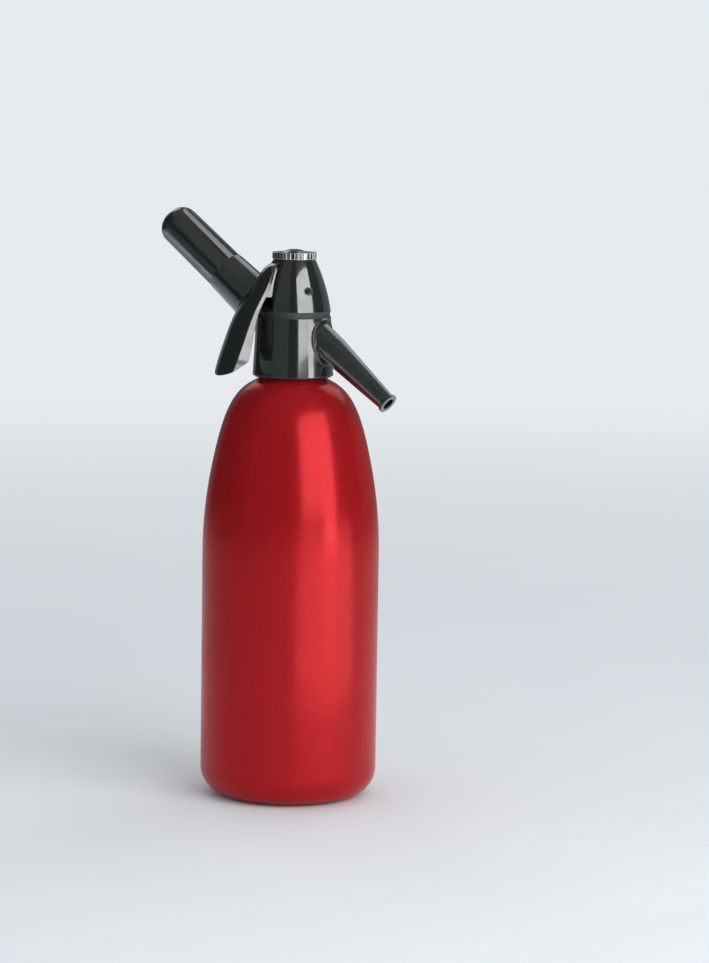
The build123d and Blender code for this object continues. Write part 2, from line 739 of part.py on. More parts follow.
def hollow_section(station):
    """Cross-section of the channel inside the blade, open towards the head."""
    half, crown, flank = station[3:]
    inner = half - BLADE_SIDE
    sag = crown * (inner / half) ** 2 + BLADE_THICKNESS
    deep = crown + flank + OVERCUT
    with BuildSketch(blade_plane(station)) as section:
        with BuildLine():
            ThreePointArc((-inner, -sag), (0, -BLADE_THICKNESS), (inner, -sag))
            Polyline((inner, -sag), (inner, -deep), (-inner, -deep), (-inner, -sag))
        make_face()
    return section.sketch


def below_end_cut(wall):
    """Side outline of all that lies below the blade's slanted end, or its end wall."""
    angle = math.radians(END_CUT_ANGLE)
    rise = wall / math.cos(angle)
    reach = 3 * HEAD_BASE_RADIUS
    tip = (TIP_REACH, rise - TIP_DROP)
    with BuildSketch(LEVER_SIDE) as outline:
        with BuildLine():
            Polyline(
                (tip[0] + reach, tip[1] - reach * math.tan(angle)),
                (tip[0] - reach, tip[1] + reach * math.tan(angle)),
                (tip[0] - reach, tip[1] - 2 * reach),
                (tip[0] + reach, tip[1] - 2 * reach),
                close=True,
            )
        make_face()
    return outline.sketch


def below_crest(station, depth):
    """Side point at a depth below the blade's crest, square to its slope."""
    reach, drop, slope = station[:3]
    angle = math.radians(slope)
    return (reach - depth * math.sin(angle), -drop - depth * math.cos(angle))


with BuildPart() as lever_arm:
    with BuildSketch(LEVER_SIDE):
        with BuildLine():
            Polyline(
                (0, HUB_RADIUS),
                ARM_ELBOW,
                *(below_crest(station, ARM_DEPTH) for station in BLADE_ROOT),
                below_crest(BLADE_ROOT[-1], 2 * ARM_DEPTH),
                (NOSE_OFFSET + HUB_RADIUS, -ARM_SOLE),
                (NOSE_OFFSET, -HUB_RADIUS),
                (0, 0),
                close=True,
            )
        make_face()
        Circle(HUB_RADIUS - NOSE_GAP)
        with Locations((NOSE_OFFSET, 0)):
            Circle(HUB_RADIUS)
    extrude(amount=HEAD_BASE_RADIUS, both=True)
    extrude(
        arm_outline(LEVER_FRONT.offset(-HUB_RADIUS), 0),
        amount=TIP_REACH,
        mode=Mode.INTERSECT,
    )

with BuildPart() as blade_hollow:
    loft([hollow_section(station) for station in BLADE_CHANNEL])
    extrude(
        below_end_cut(BLADE_THICKNESS), amount=HEAD_BASE_RADIUS, both=True, mode=Mode.SUBTRACT
    )

with BuildPart() as lever:
    loft([blade_section(station) for station in BLADE_ROOT + BLADE_CHANNEL])
    add(blade_hollow.part, mode=Mode.SUBTRACT)
    extrude(below_end_cut(0), amount=HEAD_BASE_RADIUS, both=True, mode=Mode.SUBTRACT)
    # Rounded corners of the tip, seen from the front.
    with BuildSketch(LEVER_FRONT):
        with BuildLine():
            outline = Polyline(
                (-TIP_HALF, -TIP_DROP),
                (TIP_HALF, -TIP_DROP),
                (2 * TIP_HALF, 0),
                (2 * TIP_HALF, 2 * TIP_HALF),
                (-2 * TIP_HALF, 2 * TIP_HALF),
                (-2 * TIP_HALF, 0),
                close=True,
            )
            fillet(outline.vertices().group_by(Axis.Z)[0], TIP_CORNER)
        make_face()
    extrude(amount=2 * TIP_REACH, both=True, mode=Mode.INTERSECT)
    add(lever_arm.part)
    with BuildSketch(LEVER_SIDE):
        Circle(PIN_RADIUS + RUN)
    extrude(amount=HEAD_BASE_RADIUS, both=True, mode=Mode.SUBTRACT)
lever.part.label = "lever"

with BuildPart() as lever_pin:
    with BuildSketch(LEVER_SIDE):
        Circle(PIN_RADIUS)
    extrude(amount=HEAD_BASE_RADIUS, both=True)
    revolve(
        head_section(PIN_RECESS, HEAD_BASE, HEAD_TOP), axis=MAIN_AXIS, mode=Mode.INTERSECT
    )
lever_pin.part.label = "lever_pin"

# ------------------------------------------------------- top ring and dome
with BuildPart() as top_ring:
    turned(
        (
            (RING_SKIRT_BORE, HEAD_TOP - RING_SKIRT_LENGTH),
            (RING_SKIRT_RADIUS, HEAD_TOP - RING_SKIRT_LENGTH),
            (RING_SKIRT_RADIUS, HEAD_TOP + FACE),
            (RING_RADIUS, HEAD_TOP + FACE),
            (RING_RADIUS, RING_TOP),
            (DOME_RADIUS + RUN, RING_TOP),
            (DOME_RADIUS + RUN, DOME_BASE),
            (RING_SKIRT_BORE, DOME_BASE),
        ),
        MAIN_AXIS,
    )
    rims = top_ring.edges().filter_by(GeomType.CIRCLE)
    chamfer(rims.filter_by(lambda edge: edge.radius > RING_RADIUS - SEAT), RING_CHAMFER)
    with BuildSketch(Plane.XY.offset(HEAD_TOP)):
        with PolarLocations(RING_RADIUS + 0.5 * RING_FLUTE_RADIUS, RING_FLUTES):
            Circle(RING_FLUTE_RADIUS)
    extrude(amount=RING_HEIGHT, mode=Mode.SUBTRACT)
top_ring.part.label = "top_ring"

with BuildPart() as dome_cap:
    with BuildSketch(Plane.XZ):
        with BuildLine():
            Polyline(
                (DOME_FLAT, DOME_TOP),
                (0, DOME_TOP),
                (0, DOME_BASE + FACE),
                (DOME_RADIUS, DOME_BASE + FACE),
                (DOME_RADIUS, RING_TOP - DOME_SINK),
            )
            RadiusArc((DOME_RADIUS, RING_TOP - DOME_SINK), (DOME_FLAT, DOME_TOP), -DOME_CROWN)
        make_face()
    revolve(axis=MAIN_AXIS)
dome_cap.part.label = "dome_cap"

# -------------------------------------------------------------------- spout
with BuildPart() as spout:
    turned(
        (
            (0, SPOUT_SOCKET_END),
            (SPOUT_ROOT_RADIUS, SPOUT_SOCKET_END),
            (SPOUT_ROOT_RADIUS, SPOUT_TAPER_START),
            (SPOUT_TIP_RADIUS, SPOUT_REACH - SPOUT_RIM_LENGTH),
            (SPOUT_RIM_RADIUS, SPOUT_REACH - 0.7 * SPOUT_RIM_LENGTH),
            (SPOUT_RIM_RADIUS, SPOUT_REACH),
            (0, SPOUT_REACH),
        ),
        SPOUT_AXIS,
    )
    revolve(
        head_section(SPOUT_SADDLE - FACE, HEAD_BASE - OVERCUT, HEAD_TOP),
        axis=MAIN_AXIS,
        mode=Mode.SUBTRACT,
    )
    turned(ring(0, SPOUT_SHANK_RADIUS, SPOUT_SHANK_START, SPOUT_TAPER_START), SPOUT_AXIS)
    turned(
        (
            (0, SPOUT_SHANK_START - OVERCUT),
            (SPOUT_BORE, SPOUT_SHANK_START - OVERCUT),
            (SPOUT_BORE, SPOUT_REACH - SPOUT_OUTLET_LENGTH - OVERCUT),
            (SPOUT_OUTLET_BORE, SPOUT_REACH - SPOUT_OUTLET_LENGTH),
            (SPOUT_OUTLET_BORE, SPOUT_REACH + OVERCUT),
            (0, SPOUT_REACH + OVERCUT),
        ),
        SPOUT_AXIS,
        Mode.SUBTRACT,
    )
    turned(
        ring(
            SPOUT_SHANK_RADIUS - SPOUT_GROOVE_DEPTH,
            SPOUT_ROOT_RADIUS,
            SPOUT_GROOVE_START,
            SPOUT_GROOVE_END,
        ),
        SPOUT_AXIS,
        Mode.SUBTRACT,
    )
spout.part.label = "spout"

with BuildPart() as spout_oring:
    with BuildSketch(turning_plane(SPOUT_AXIS)):
        with Locations(
            (
                SPOUT_SHANK_RADIUS + SEAT - ORING_WIRE,
                (SPOUT_GROOVE_START + SPOUT_GROOVE_END) / 2,
            )
        ):
            Circle(ORING_WIRE)
    revolve(axis=SPOUT_AXIS)
spout_oring.part.label = "spout_oring"

# ------------------------------------------------- piercer, charger, holder
with BuildPart() as piercer_body:
    turned(
        (
            (GAS_BORE, PIERCER_SPIGOT_START),
            (PIERCER_SPIGOT, PIERCER_SPIGOT_START),
            (PIERCER_SPIGOT, PIERCER_WAIST_START),
            (PIERCER_WAIST, PIERCER_WAIST_START),
            (PIERCER_WAIST, PIERCER_WAIST_END),
            (PIERCER_RADIUS, PIERCER_WAIST_END),
            (PIERCER_RADIUS, PIERCER_END),
            (NECK_SOCKET, PIERCER_END),
            (NECK_SOCKET, SOCKET_FLOOR),
            (PIN_BODY_RADIUS + SEAT, SOCKET_FLOOR),
            (PIN_BODY_RADIUS + SEAT, PIN_BODY_START),
            (GAS_BORE, PIN_BODY_START),
            (GAS_BORE, CHECK_END),
            (CHECK_CHAMBER_RADIUS, CHECK_END),
            (CHECK_CHAMBER_RADIUS, CHECK_START),
            (GAS_BORE, CHECK_START),
        ),
        HOLDER_AXIS,
    )
piercer_body.part.label = "piercer_body"

with BuildPart() as piercing_pin:
    turned(
        (
            (NEEDLE_BORE, PIN_BODY_START),
            (PIN_BODY_RADIUS, PIN_BODY_START),
            (PIN_BODY_RADIUS, SOCKET_FLOOR),
            (NEEDLE_RADIUS, SOCKET_FLOOR),
            (NEEDLE_RADIUS, CHARGER_START + NEEDLE_DEPTH - NEEDLE_RADIUS),
            (NEEDLE_BORE, CHARGER_START + NEEDLE_DEPTH),
        ),
        HOLDER_AXIS,
    )
piercing_pin.part.label = "piercing_pin"

with BuildPart() as piercer_gasket:
    turned(
        ring(NEEDLE_RADIUS + RUN, NECK_SOCKET - SEAT, SOCKET_FLOOR, CHARGER_START - FACE),
        HOLDER_AXIS,
    )
piercer_gasket.part.label = "piercer_gasket"

with BuildPart() as check_valve:
    turned(
        (
            (0, CHECK_START + CHECK_STEM),
            (0.5 * CHECK_RADIUS, CHECK_START + CHECK_STEM),
            (0.5 * CHECK_RADIUS, CHECK_END - CHECK_LIP),
            (CHECK_RADIUS, CHECK_END - 0.4 * CHECK_LIP),
            (CHECK_RADIUS, CHECK_END - FACE),
            (0, CHECK_END - FACE),
        ),
        HOLDER_AXIS,
    )
check_valve.part.label = "check_valve"

with BuildPart() as holder_insert:
    turned(
        ring(
            PIERCER_RADIUS + RUN,
            HOLDER_POCKET - SEAT,
            HOLDER_MOUTH + HOLDER_INSERT_INSET,
            HOLDER_POCKET_END,
        ),
        HOLDER_AXIS,
    )
holder_insert.part.label = "holder_insert"

with BuildPart() as co2_charger:
    for inset in (0, CHARGER_WALL):
        neck = CHARGER_NECK_RADIUS - inset
        belly = CHARGER_RADIUS - inset
        with BuildSketch(turning_plane(HOLDER_AXIS)):
            with BuildLine():
                Polyline(
                    (0, CHARGER_START + inset),
                    (neck, CHARGER_START + inset),
                    (neck, CHARGER_START + CHARGER_NECK_LENGTH),
                )
                Spline(
                    (neck, CHARGER_START + CHARGER_NECK_LENGTH),
                    (belly, CHARGER_START + CHARGER_NECK_LENGTH + CHARGER_TAPER),
                    tangents=((0.5, 1), (0, 1)),
                )
                Line(
                    (belly, CHARGER_START + CHARGER_NECK_LENGTH + CHARGER_TAPER),
                    (belly, CHARGER_ROUND),
                )
                RadiusArc((belly, CHARGER_ROUND), (0, CHARGER_ROUND + belly), -belly)
                Line((0, CHARGER_ROUND + belly), (0, CHARGER_START + inset))
            make_face()
        revolve(axis=HOLDER_AXIS, mode=Mode.SUBTRACT if inset else Mode.ADD)
    turned(
        ring(0, PIERCING_BORE, CHARGER_START - OVERCUT, CHARGER_START + 2 * CHARGER_WALL),
        HOLDER_AXIS,
        Mode.SUBTRACT,
    )
co2_charger.part.label = "co2_charger"

with BuildPart() as charger_holder:
    with BuildSketch(turning_plane(HOLDER_AXIS)):
        with BuildLine():
            Polyline(
                (0, HOLDER_MOUTH),
                (BOSS_RADIUS, HOLDER_MOUTH),
                (GRIP_RADIUS, GRIP_START),
                (GRIP_TIP_RADIUS, HOLDER_ROUND),
            )
            Spline(
                (GRIP_TIP_RADIUS, HOLDER_ROUND),
                (0.80 * GRIP_TIP_RADIUS, HOLDER_ROUND + 0.68 * HOLDER_DOME),
                (0, HOLDER_END),
                tangents=((0, 1), (-1, 0)),
            )
            Line((0, HOLDER_END), (0, HOLDER_MOUTH))
        make_face()
    revolve(axis=HOLDER_AXIS)
    # Shallow finger flutes of the grip, which meet in sharp ridges.
    with BuildSketch(cross_plane(HOLDER_AXIS).offset(GRIP_START)):
        with PolarLocations(
            GRIP_RADIUS + FLUTE_RADIUS - FLUTE_DEPTH, GRIP_FLUTES, GRIP_FLUTE_TURN
        ):
            Circle(FLUTE_RADIUS)
    extrude(amount=HOLDER_END - GRIP_START, mode=Mode.SUBTRACT)
    # Pocket of the threaded insert and bore of the charger, with its round end.
    turned(
        (
            (0, HOLDER_MOUTH - OVERCUT),
            (HOLDER_POCKET, HOLDER_MOUTH - OVERCUT),
            (HOLDER_POCKET, HOLDER_POCKET_END),
            (HOLDER_BORE, HOLDER_POCKET_END),
            (HOLDER_BORE, CHARGER_ROUND),
            (0, CHARGER_ROUND),
        ),
        HOLDER_AXIS,
        Mode.SUBTRACT,
    )
    with BuildSketch(turning_plane(HOLDER_AXIS)):
        with BuildLine():
            RadiusArc((HOLDER_BORE, CHARGER_ROUND), (0, CHARGER_ROUND + HOLDER_BORE), -HOLDER_BORE)
            Polyline(
                (0, CHARGER_ROUND + HOLDER_BORE), (0, CHARGER_ROUND), (HOLDER_BORE, CHARGER_ROUND)
            )
        make_face()
    revolve(axis=HOLDER_AXIS, mode=Mode.SUBTRACT)
charger_holder.part.label = "charger_holder"

# ------------------------------------------------------------------- export
PIECES = (
    bottle,
    neck_gasket,
    head_casing,
    neck_insert,
    valve_body,
    valve_body_nut,
    riser_tube,
    riser_seal,
    measuring_tube,
    valve_plunger,
    valve_seal,
    plunger_cap,
    stem_oring,
    valve_spring,
    lever,
    lever_pin,
    top_ring,
    dome_cap,
    spout,
    spout_oring,
    piercer_body,
    piercing_pin,
    piercer_gasket,
    check_valve,
    holder_insert,
    co2_charger,
    charger_holder,
)
os.makedirs("parts", exist_ok=True)
for piece in PIECES:
    export_step(piece.part, f"parts/{piece.part.label}.step")
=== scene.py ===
import logging
import math
from abc import ABC, abstractmethod
from dataclasses import dataclass, field
from enum import Enum

import bmesh
import bpy
from mathutils import Matrix, Vector


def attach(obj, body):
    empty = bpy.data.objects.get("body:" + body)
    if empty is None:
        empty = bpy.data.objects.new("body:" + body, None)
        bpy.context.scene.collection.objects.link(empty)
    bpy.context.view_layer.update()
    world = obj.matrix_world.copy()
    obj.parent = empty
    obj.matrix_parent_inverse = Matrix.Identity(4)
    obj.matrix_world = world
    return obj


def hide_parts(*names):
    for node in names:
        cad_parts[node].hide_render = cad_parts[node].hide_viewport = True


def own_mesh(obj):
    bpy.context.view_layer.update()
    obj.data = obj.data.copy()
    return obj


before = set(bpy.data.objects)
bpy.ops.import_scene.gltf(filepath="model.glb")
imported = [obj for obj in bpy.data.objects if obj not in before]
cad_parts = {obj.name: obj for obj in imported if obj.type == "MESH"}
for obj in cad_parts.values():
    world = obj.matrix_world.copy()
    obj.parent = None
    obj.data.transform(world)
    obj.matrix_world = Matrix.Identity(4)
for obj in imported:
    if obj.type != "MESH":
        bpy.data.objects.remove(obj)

log = logging.getLogger("soda_siphon")

MM = 0.001
UP = Vector((0.0, 0.0, 1.0))
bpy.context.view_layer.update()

Colour = tuple[float, float, float]


# ------------------------------------------------------------------ geometry
@dataclass(frozen=True)
class Axle:
    """A line that turned pieces and turned patterns are centred on.

    Attributes:
        foot: A point on the line, in metres.
        along: The line's direction.
    """

    foot: Vector
    along: Vector

    def placement(self) -> Matrix:
        """Matrix that carries an upright piece onto the line."""
        turn = self.along.to_track_quat("Z", "Y").to_matrix().to_4x4()
        return Matrix.Translation(self.foot) @ turn


def polar(azimuth: float, slope: float = 0.0) -> Vector:
    """Unit vector at an azimuth about +Z and a slope above the horizontal.

    Args:
        azimuth: Degrees from +X towards +Y.
        slope: Degrees above the horizontal.

    Returns:
        The direction.
    """
    level = math.cos(math.radians(slope))
    turn = math.radians(azimuth)
    return Vector((level * math.cos(turn), level * math.sin(turn), math.sin(math.radians(slope))))


UPRIGHT = Axle(Vector((0.0, 0.0, 0.0)), UP)
HOLDER_LINE = Axle(Vector((0.0, 0.0, 244.8 * MM)), polar(180.0, 36.6))


# -------------------------------------------------------------- node drawing
class Sheet:
    """Short-hand for laying nodes out in a material, a group or a world."""

    def __init__(self, tree: bpy.types.NodeTree) -> None:
        """Keeps the tree that the nodes go into."""
        self.tree = tree

    def add(self, kind: str, **settings: object) -> bpy.types.Node:
        """Adds a node.

        Args:
            kind: Node type without its ShaderNode prefix.
            settings: Properties of the node.

        Returns:
            The new node.
        """
        node = self.tree.nodes.new("ShaderNode" + kind)
        for name, value in settings.items():
            setattr(node, name, value)
        return node

    def feed(self, socket: bpy.types.NodeSocket, source: object) -> None:
        """Links a socket, or sets it to a plain value.

        Args:
            socket: Input to fill.
            source: Output socket, number, colour or vector.
        """
        if isinstance(source, bpy.types.NodeSocket):
            self.tree.links.new(source, socket)
        elif isinstance(socket.default_value, float):
            socket.default_value = source
        else:
            filler = (1.0,) * (len(socket.default_value) - len(source))
            socket.default_value = tuple(source) + filler

    def math(self, operation: str, *values: object, clamp: bool = False) -> bpy.types.NodeSocket:
        """Adds a Math node and fills its inputs in order.

        Args:
            operation: Name of the operation.
            values: Output sockets or numbers.
            clamp: Whether the result stays between 0 and 1.

        Returns:
            The node's output.
        """
        node = self.add("Math", operation=operation, use_clamp=clamp)
        for socket, value in zip(node.inputs, values):
            self.feed(socket, value)
        return node.outputs[0]

    def vector(self, operation: str, *values: object) -> bpy.types.Node:
        """Adds a Vector Math node and fills its inputs in order.

        Args:
            operation: Name of the operation.
            values: Output sockets, vectors or numbers.

        Returns:
            The node.
        """
        node = self.add("VectorMath", operation=operation)
        for socket, value in zip(node.inputs, values):
            self.feed(socket, value)
        return node

    def parts(self, vector: bpy.types.NodeSocket) -> bpy.types.bpy_prop_collection:
        """Splits a vector into its X, Y and Z.

        Args:
            vector: The vector.

        Returns:
            The three outputs, by name.
        """
        node = self.add("SeparateXYZ")
        self.feed(node.inputs[0], vector)
        return node.outputs

    def radius(self, vector: bpy.types.NodeSocket) -> bpy.types.NodeSocket:
        """Distance of a point from the Z axis.

        Args:
            vector: The point's coordinates.

        Returns:
            The distance.
        """
        across = self.vector("MULTIPLY", vector, (1.0, 1.0, 0.0)).outputs["Vector"]
        return self.vector("LENGTH", across).outputs["Value"]

    def ramp(self, value: object, low: float, high: float, to_low: float = 0.0,
             to_high: float = 1.0) -> bpy.types.NodeSocket:
        """Eases a value from one range into another.

        Args:
            value: Output socket to read.
            low: Start of the range that is read.
            high: End of the range that is read.
            to_low: Result at the start.
            to_high: Result at the end.

        Returns:
            The eased value.
        """
        node = self.add("MapRange", interpolation_type="SMOOTHSTEP")
        for socket, number in zip(node.inputs, (value, low, high, to_low, to_high)):
            self.feed(socket, number)
        return node.outputs["Result"]

    def blend(self, share: object, first: object, second: object) -> bpy.types.NodeSocket:
        """Mixes two colours.

        Args:
            share: How much of the second colour shows.
            first: Colour or output socket.
            second: Colour or output socket.

        Returns:
            The mixed colour.
        """
        node = self.add("Mix", data_type="RGBA")
        self.feed(node.inputs["Factor"], share)
        self.feed(node.inputs["A"], first)
        self.feed(node.inputs["B"], second)
        return node.outputs["Result"]

    def noise(self, vector: bpy.types.NodeSocket, size: object, detail: float = 2.0,
              roughness: float = 0.5) -> bpy.types.NodeSocket:
        """Adds noise whose blotches have a real size.

        Args:
            vector: Coordinates in metres.
            size: Size of one blotch in metres, or an output socket with its scale.
            detail: Number of finer layers.
            roughness: Strength of the finer layers.

        Returns:
            The noise's value.
        """
        node = self.add("TexNoise")
        self.feed(node.inputs["Vector"], vector)
        self.feed(node.inputs["Scale"], 1.0 / size if isinstance(size, float) else size)
        self.feed(node.inputs["Detail"], detail)
        self.feed(node.inputs["Roughness"], roughness)
        return node.outputs["Fac"]

    def place(self, group: bpy.types.NodeTree, **values: object) -> bpy.types.Node:
        """Places a shared effect with its own values.

        Args:
            group: The effect.
            values: Inputs by name, with _ for a space.

        Returns:
            The group node.
        """
        node = self.add("Group", node_tree=group)
        for name, value in values.items():
            self.feed(node.inputs[name.replace("_", " ")], value)
        return node


class Effects:
    """The effects that several finishes share, each built once as a node group."""

    def __init__(self) -> None:
        """Builds every effect."""
        self.soft_edges = self._soft_edges()
        self.moulded_grain = self._moulded_grain()
        self.handling = self._handling()
        self.settled_dust = self._settled_dust()
        self.turning_marks = self._turning_marks()

    @staticmethod
    def _group(name: str, inputs: dict[str, float | None],
               outputs: dict[str, str]) -> tuple[Sheet, object, object]:
        """Starts a group.

        Args:
            name: The effect's name.
            inputs: Number inputs with their defaults, or None for a vector.
            outputs: Outputs with their socket kinds.

        Returns:
            A sheet on the new group, and the sockets of its two end nodes.
        """
        tree = bpy.data.node_groups.new(name, "ShaderNodeTree")
        for label, default in inputs.items():
            kind = "NodeSocketVector" if default is None else "NodeSocketFloat"
            socket = tree.interface.new_socket(name=label, in_out="INPUT", socket_type=kind)
            if default is not None:
                socket.default_value = default
        for label, kind in outputs.items():
            tree.interface.new_socket(name=label, in_out="OUTPUT", socket_type=kind)
        start, end = tree.nodes.new("NodeGroupInput"), tree.nodes.new("NodeGroupOutput")
        return Sheet(tree), start.outputs, end.inputs

    def _soft_edges(self) -> bpy.types.NodeTree:
        """Rounds hard edges in the shading, and masks worn patches along them, which the holder's
        finish turns into a painted highlight.

        Returns:
            The effect.
        """
        sheet, inputs, outputs = self._group(
            "soft_edges", {"Radius": 0.0004, "Rub": 0.3},
            {"Normal": "NodeSocketVector", "WearAndHighlight": "NodeSocketFloat"})
        bevel = sheet.add("Bevel", samples=6)
        sheet.feed(bevel.inputs["Radius"], inputs["Radius"])
        flat = sheet.add("NewGeometry")
        lean = sheet.vector("DOT_PRODUCT", bevel.outputs["Normal"], flat.outputs["Normal"])
        edge = sheet.ramp(sheet.math("SUBTRACT", 1.0, lean.outputs["Value"]), 0.02, 0.22)
        patches = sheet.ramp(sheet.noise(flat.outputs["Position"], 0.004, 4.0), 0.35, 0.75)
        # Edge mask: worn patches, and where a finish asks for it, a painted highlight.
        wear_and_highlight = sheet.math("MULTIPLY", sheet.math("MULTIPLY", edge, patches), inputs["Rub"])
        sheet.feed(outputs["Normal"], bevel.outputs["Normal"])
        sheet.feed(outputs["WearAndHighlight"], wear_and_highlight)
        return sheet.tree

    def _moulded_grain(self) -> bpy.types.NodeTree:
        """The faint skin of a moulded or sprayed surface, with a slow waviness under it.

        Returns:
            The effect.
        """
        sheet, inputs, outputs = self._group(
            "moulded_grain", {"Vector": None, "Grain": 1500.0, "Wave": 90.0},
            {"Height": "NodeSocketFloat", "Mottle": "NodeSocketFloat"})
        fine = sheet.noise(inputs["Vector"], inputs["Grain"], 2.0, 0.6)
        slow = sheet.noise(inputs["Vector"], inputs["Wave"], 1.0, 0.4)
        height = sheet.math("ADD", sheet.math("MULTIPLY", fine, 0.35), slow)
        sheet.feed(outputs["Height"], height)
        sheet.feed(outputs["Mottle"], slow)
        return sheet.tree

    def _handling(self) -> bpy.types.NodeTree:
        """Smudges that hands leave, and hair-fine scratches.

        Returns:
            The effect.
        """
        sheet, inputs, outputs = self._group(
            "handling", {"Vector": None, "Smudge Size": 55.0, "Scratches": 0.4},
            {"Smudge": "NodeSocketFloat", "Scratch": "NodeSocketFloat"})
        broad = sheet.noise(inputs["Vector"], inputs["Smudge Size"], 3.0, 0.55)
        sheet.feed(outputs["Smudge"], sheet.ramp(broad, 0.40, 0.70))
        streaks = None
        for turn, stretch in ((0.6, (60.0, 1100.0, 700.0)), (-0.9, (900.0, 80.0, 1300.0))):
            lay = sheet.add("Mapping")
            sheet.feed(lay.inputs["Vector"], inputs["Vector"])
            lay.inputs["Rotation"].default_value = (turn, 0.4 * turn, turn)
            lay.inputs["Scale"].default_value = stretch
            hair = sheet.ramp(sheet.noise(lay.outputs["Vector"], 1.0, 1.0), 0.70, 0.76)
            streaks = hair if streaks is None else sheet.math("MAXIMUM", streaks, hair)
        sheet.feed(outputs["Scratch"], sheet.math("MULTIPLY", streaks, inputs["Scratches"]))
        return sheet.tree

    def _settled_dust(self) -> bpy.types.NodeTree:
        """Thin dust on faces that look upwards.

        Returns:
            The effect.
        """
        sheet, inputs, outputs = self._group(
            "settled_dust", {"Vector": None, "Amount": 0.1},
            {"Mask": "NodeSocketFloat"})
        facing = sheet.parts(sheet.add("NewGeometry").outputs["Normal"])
        upward = sheet.ramp(facing["Z"], 0.25, 1.0)
        specks = sheet.ramp(sheet.noise(inputs["Vector"], 0.0009, 5.0, 0.7), 0.45, 0.75)
        cloud = sheet.ramp(sheet.noise(inputs["Vector"], 0.02, 2.0), 0.3, 0.7)
        mask = sheet.math("MULTIPLY", sheet.math("MULTIPLY", upward, specks), cloud)
        sheet.feed(outputs["Mask"], sheet.math("MULTIPLY", mask, inputs["Amount"]))
        return sheet.tree

    def _turning_marks(self) -> bpy.types.NodeTree:
        """Fine lines that a lathe leaves round a piece's axis.

        Returns:
            The effect.
        """
        sheet, inputs, outputs = self._group(
            "turning_marks", {"Vector": None, "Pitch": 3000.0},
            {"Height": "NodeSocketFloat"})
        parts = sheet.parts(inputs["Vector"])
        lay = sheet.add("CombineXYZ")
        sheet.feed(lay.inputs["X"], sheet.radius(inputs["Vector"]))
        sheet.feed(lay.inputs["Z"], parts["Z"])
        sheet.feed(outputs["Height"], sheet.noise(lay.outputs[0], inputs["Pitch"], 3.0, 0.7))
        return sheet.tree


# ------------------------------------------------------------------ finishes
ALUMINIUM = (0.72, 0.73, 0.74)
STEEL = (0.50, 0.51, 0.52)
BRASS = (0.72, 0.53, 0.24)
DULL_BRASS = (0.42, 0.27, 0.11)
BLACK = (0.0105, 0.0140, 0.0130)
ACROSS = (0.0, 1.0, 0.0)


class Sheen(Enum):
    """How rough a finish is."""

    BRIGHT = 0.09
    GLOSS = 0.12
    SILK = 0.23
    SATIN = 0.33
    MATTE = 0.55


@dataclass(frozen=True)
class Finish(ABC):
    """What every finish has.

    Attributes:
        name: Name of the material.
        colour: Base colour.
        sheen: How rough it is.
        smoother: How far its roughness falls below that in places.
        rougher: How far it rises above that in places.
        scratched: How much rougher a scratch is.
    """

    name: str
    colour: Colour
    sheen: Sheen
    smoother: float = 0.03
    rougher: float = 0.05
    scratched: float = 0.15

    @abstractmethod
    def material(self, effects: Effects) -> bpy.types.Material:
        """Builds the finish's material from the shared effects."""

    def start(self) -> tuple[bpy.types.Material, Sheet, bpy.types.Node, bpy.types.NodeSocket]:
        """Starts the material.

        Returns:
            The material, its sheet, its shader and its object coordinates.
        """
        material = bpy.data.materials.new(self.name)
        material.use_nodes = True
        material.diffuse_color = (*self.colour, 1.0)
        sheet = Sheet(material.node_tree)
        shader = material.node_tree.nodes["Principled BSDF"]
        return material, sheet, shader, sheet.add("TexCoord").outputs["Object"]

    def roughness(self, sheet: Sheet, mask: bpy.types.NodeSocket, low: float = 0.0,
                  high: float = 1.0) -> bpy.types.NodeSocket:
        """Roughness that a mask leads from the smoothest to the roughest place.

        Args:
            sheet: The material's sheet.
            mask: What leads it.
            low: The mask's value at the smoothest place.
            high: The mask's value at the roughest place.

        Returns:
            The roughness.
        """
        return sheet.ramp(mask, low, high, self.sheen.value - self.smoother,
                          self.sheen.value + self.rougher)

    @staticmethod
    def bump(sheet: Sheet, shader: bpy.types.Node, height: bpy.types.NodeSocket,
             depth: float, normal: bpy.types.NodeSocket | None = None) -> None:
        """Raises a finish's surface by a height of a real depth.

        Args:
            sheet: The material's sheet.
            shader: The shader that takes the normal.
            height: Height from 0 to 1.
            depth: What a height of 1 stands for, in metres.
            normal: Normal that the bump starts from.
        """
        node = sheet.add("Bump")
        node.inputs["Strength"].default_value = 1.0
        node.inputs["Distance"].default_value = depth
        sheet.feed(node.inputs["Height"], height)
        if normal is not None:
            sheet.feed(node.inputs["Normal"], normal)
        sheet.feed(shader.inputs["Normal"], node.outputs["Normal"])


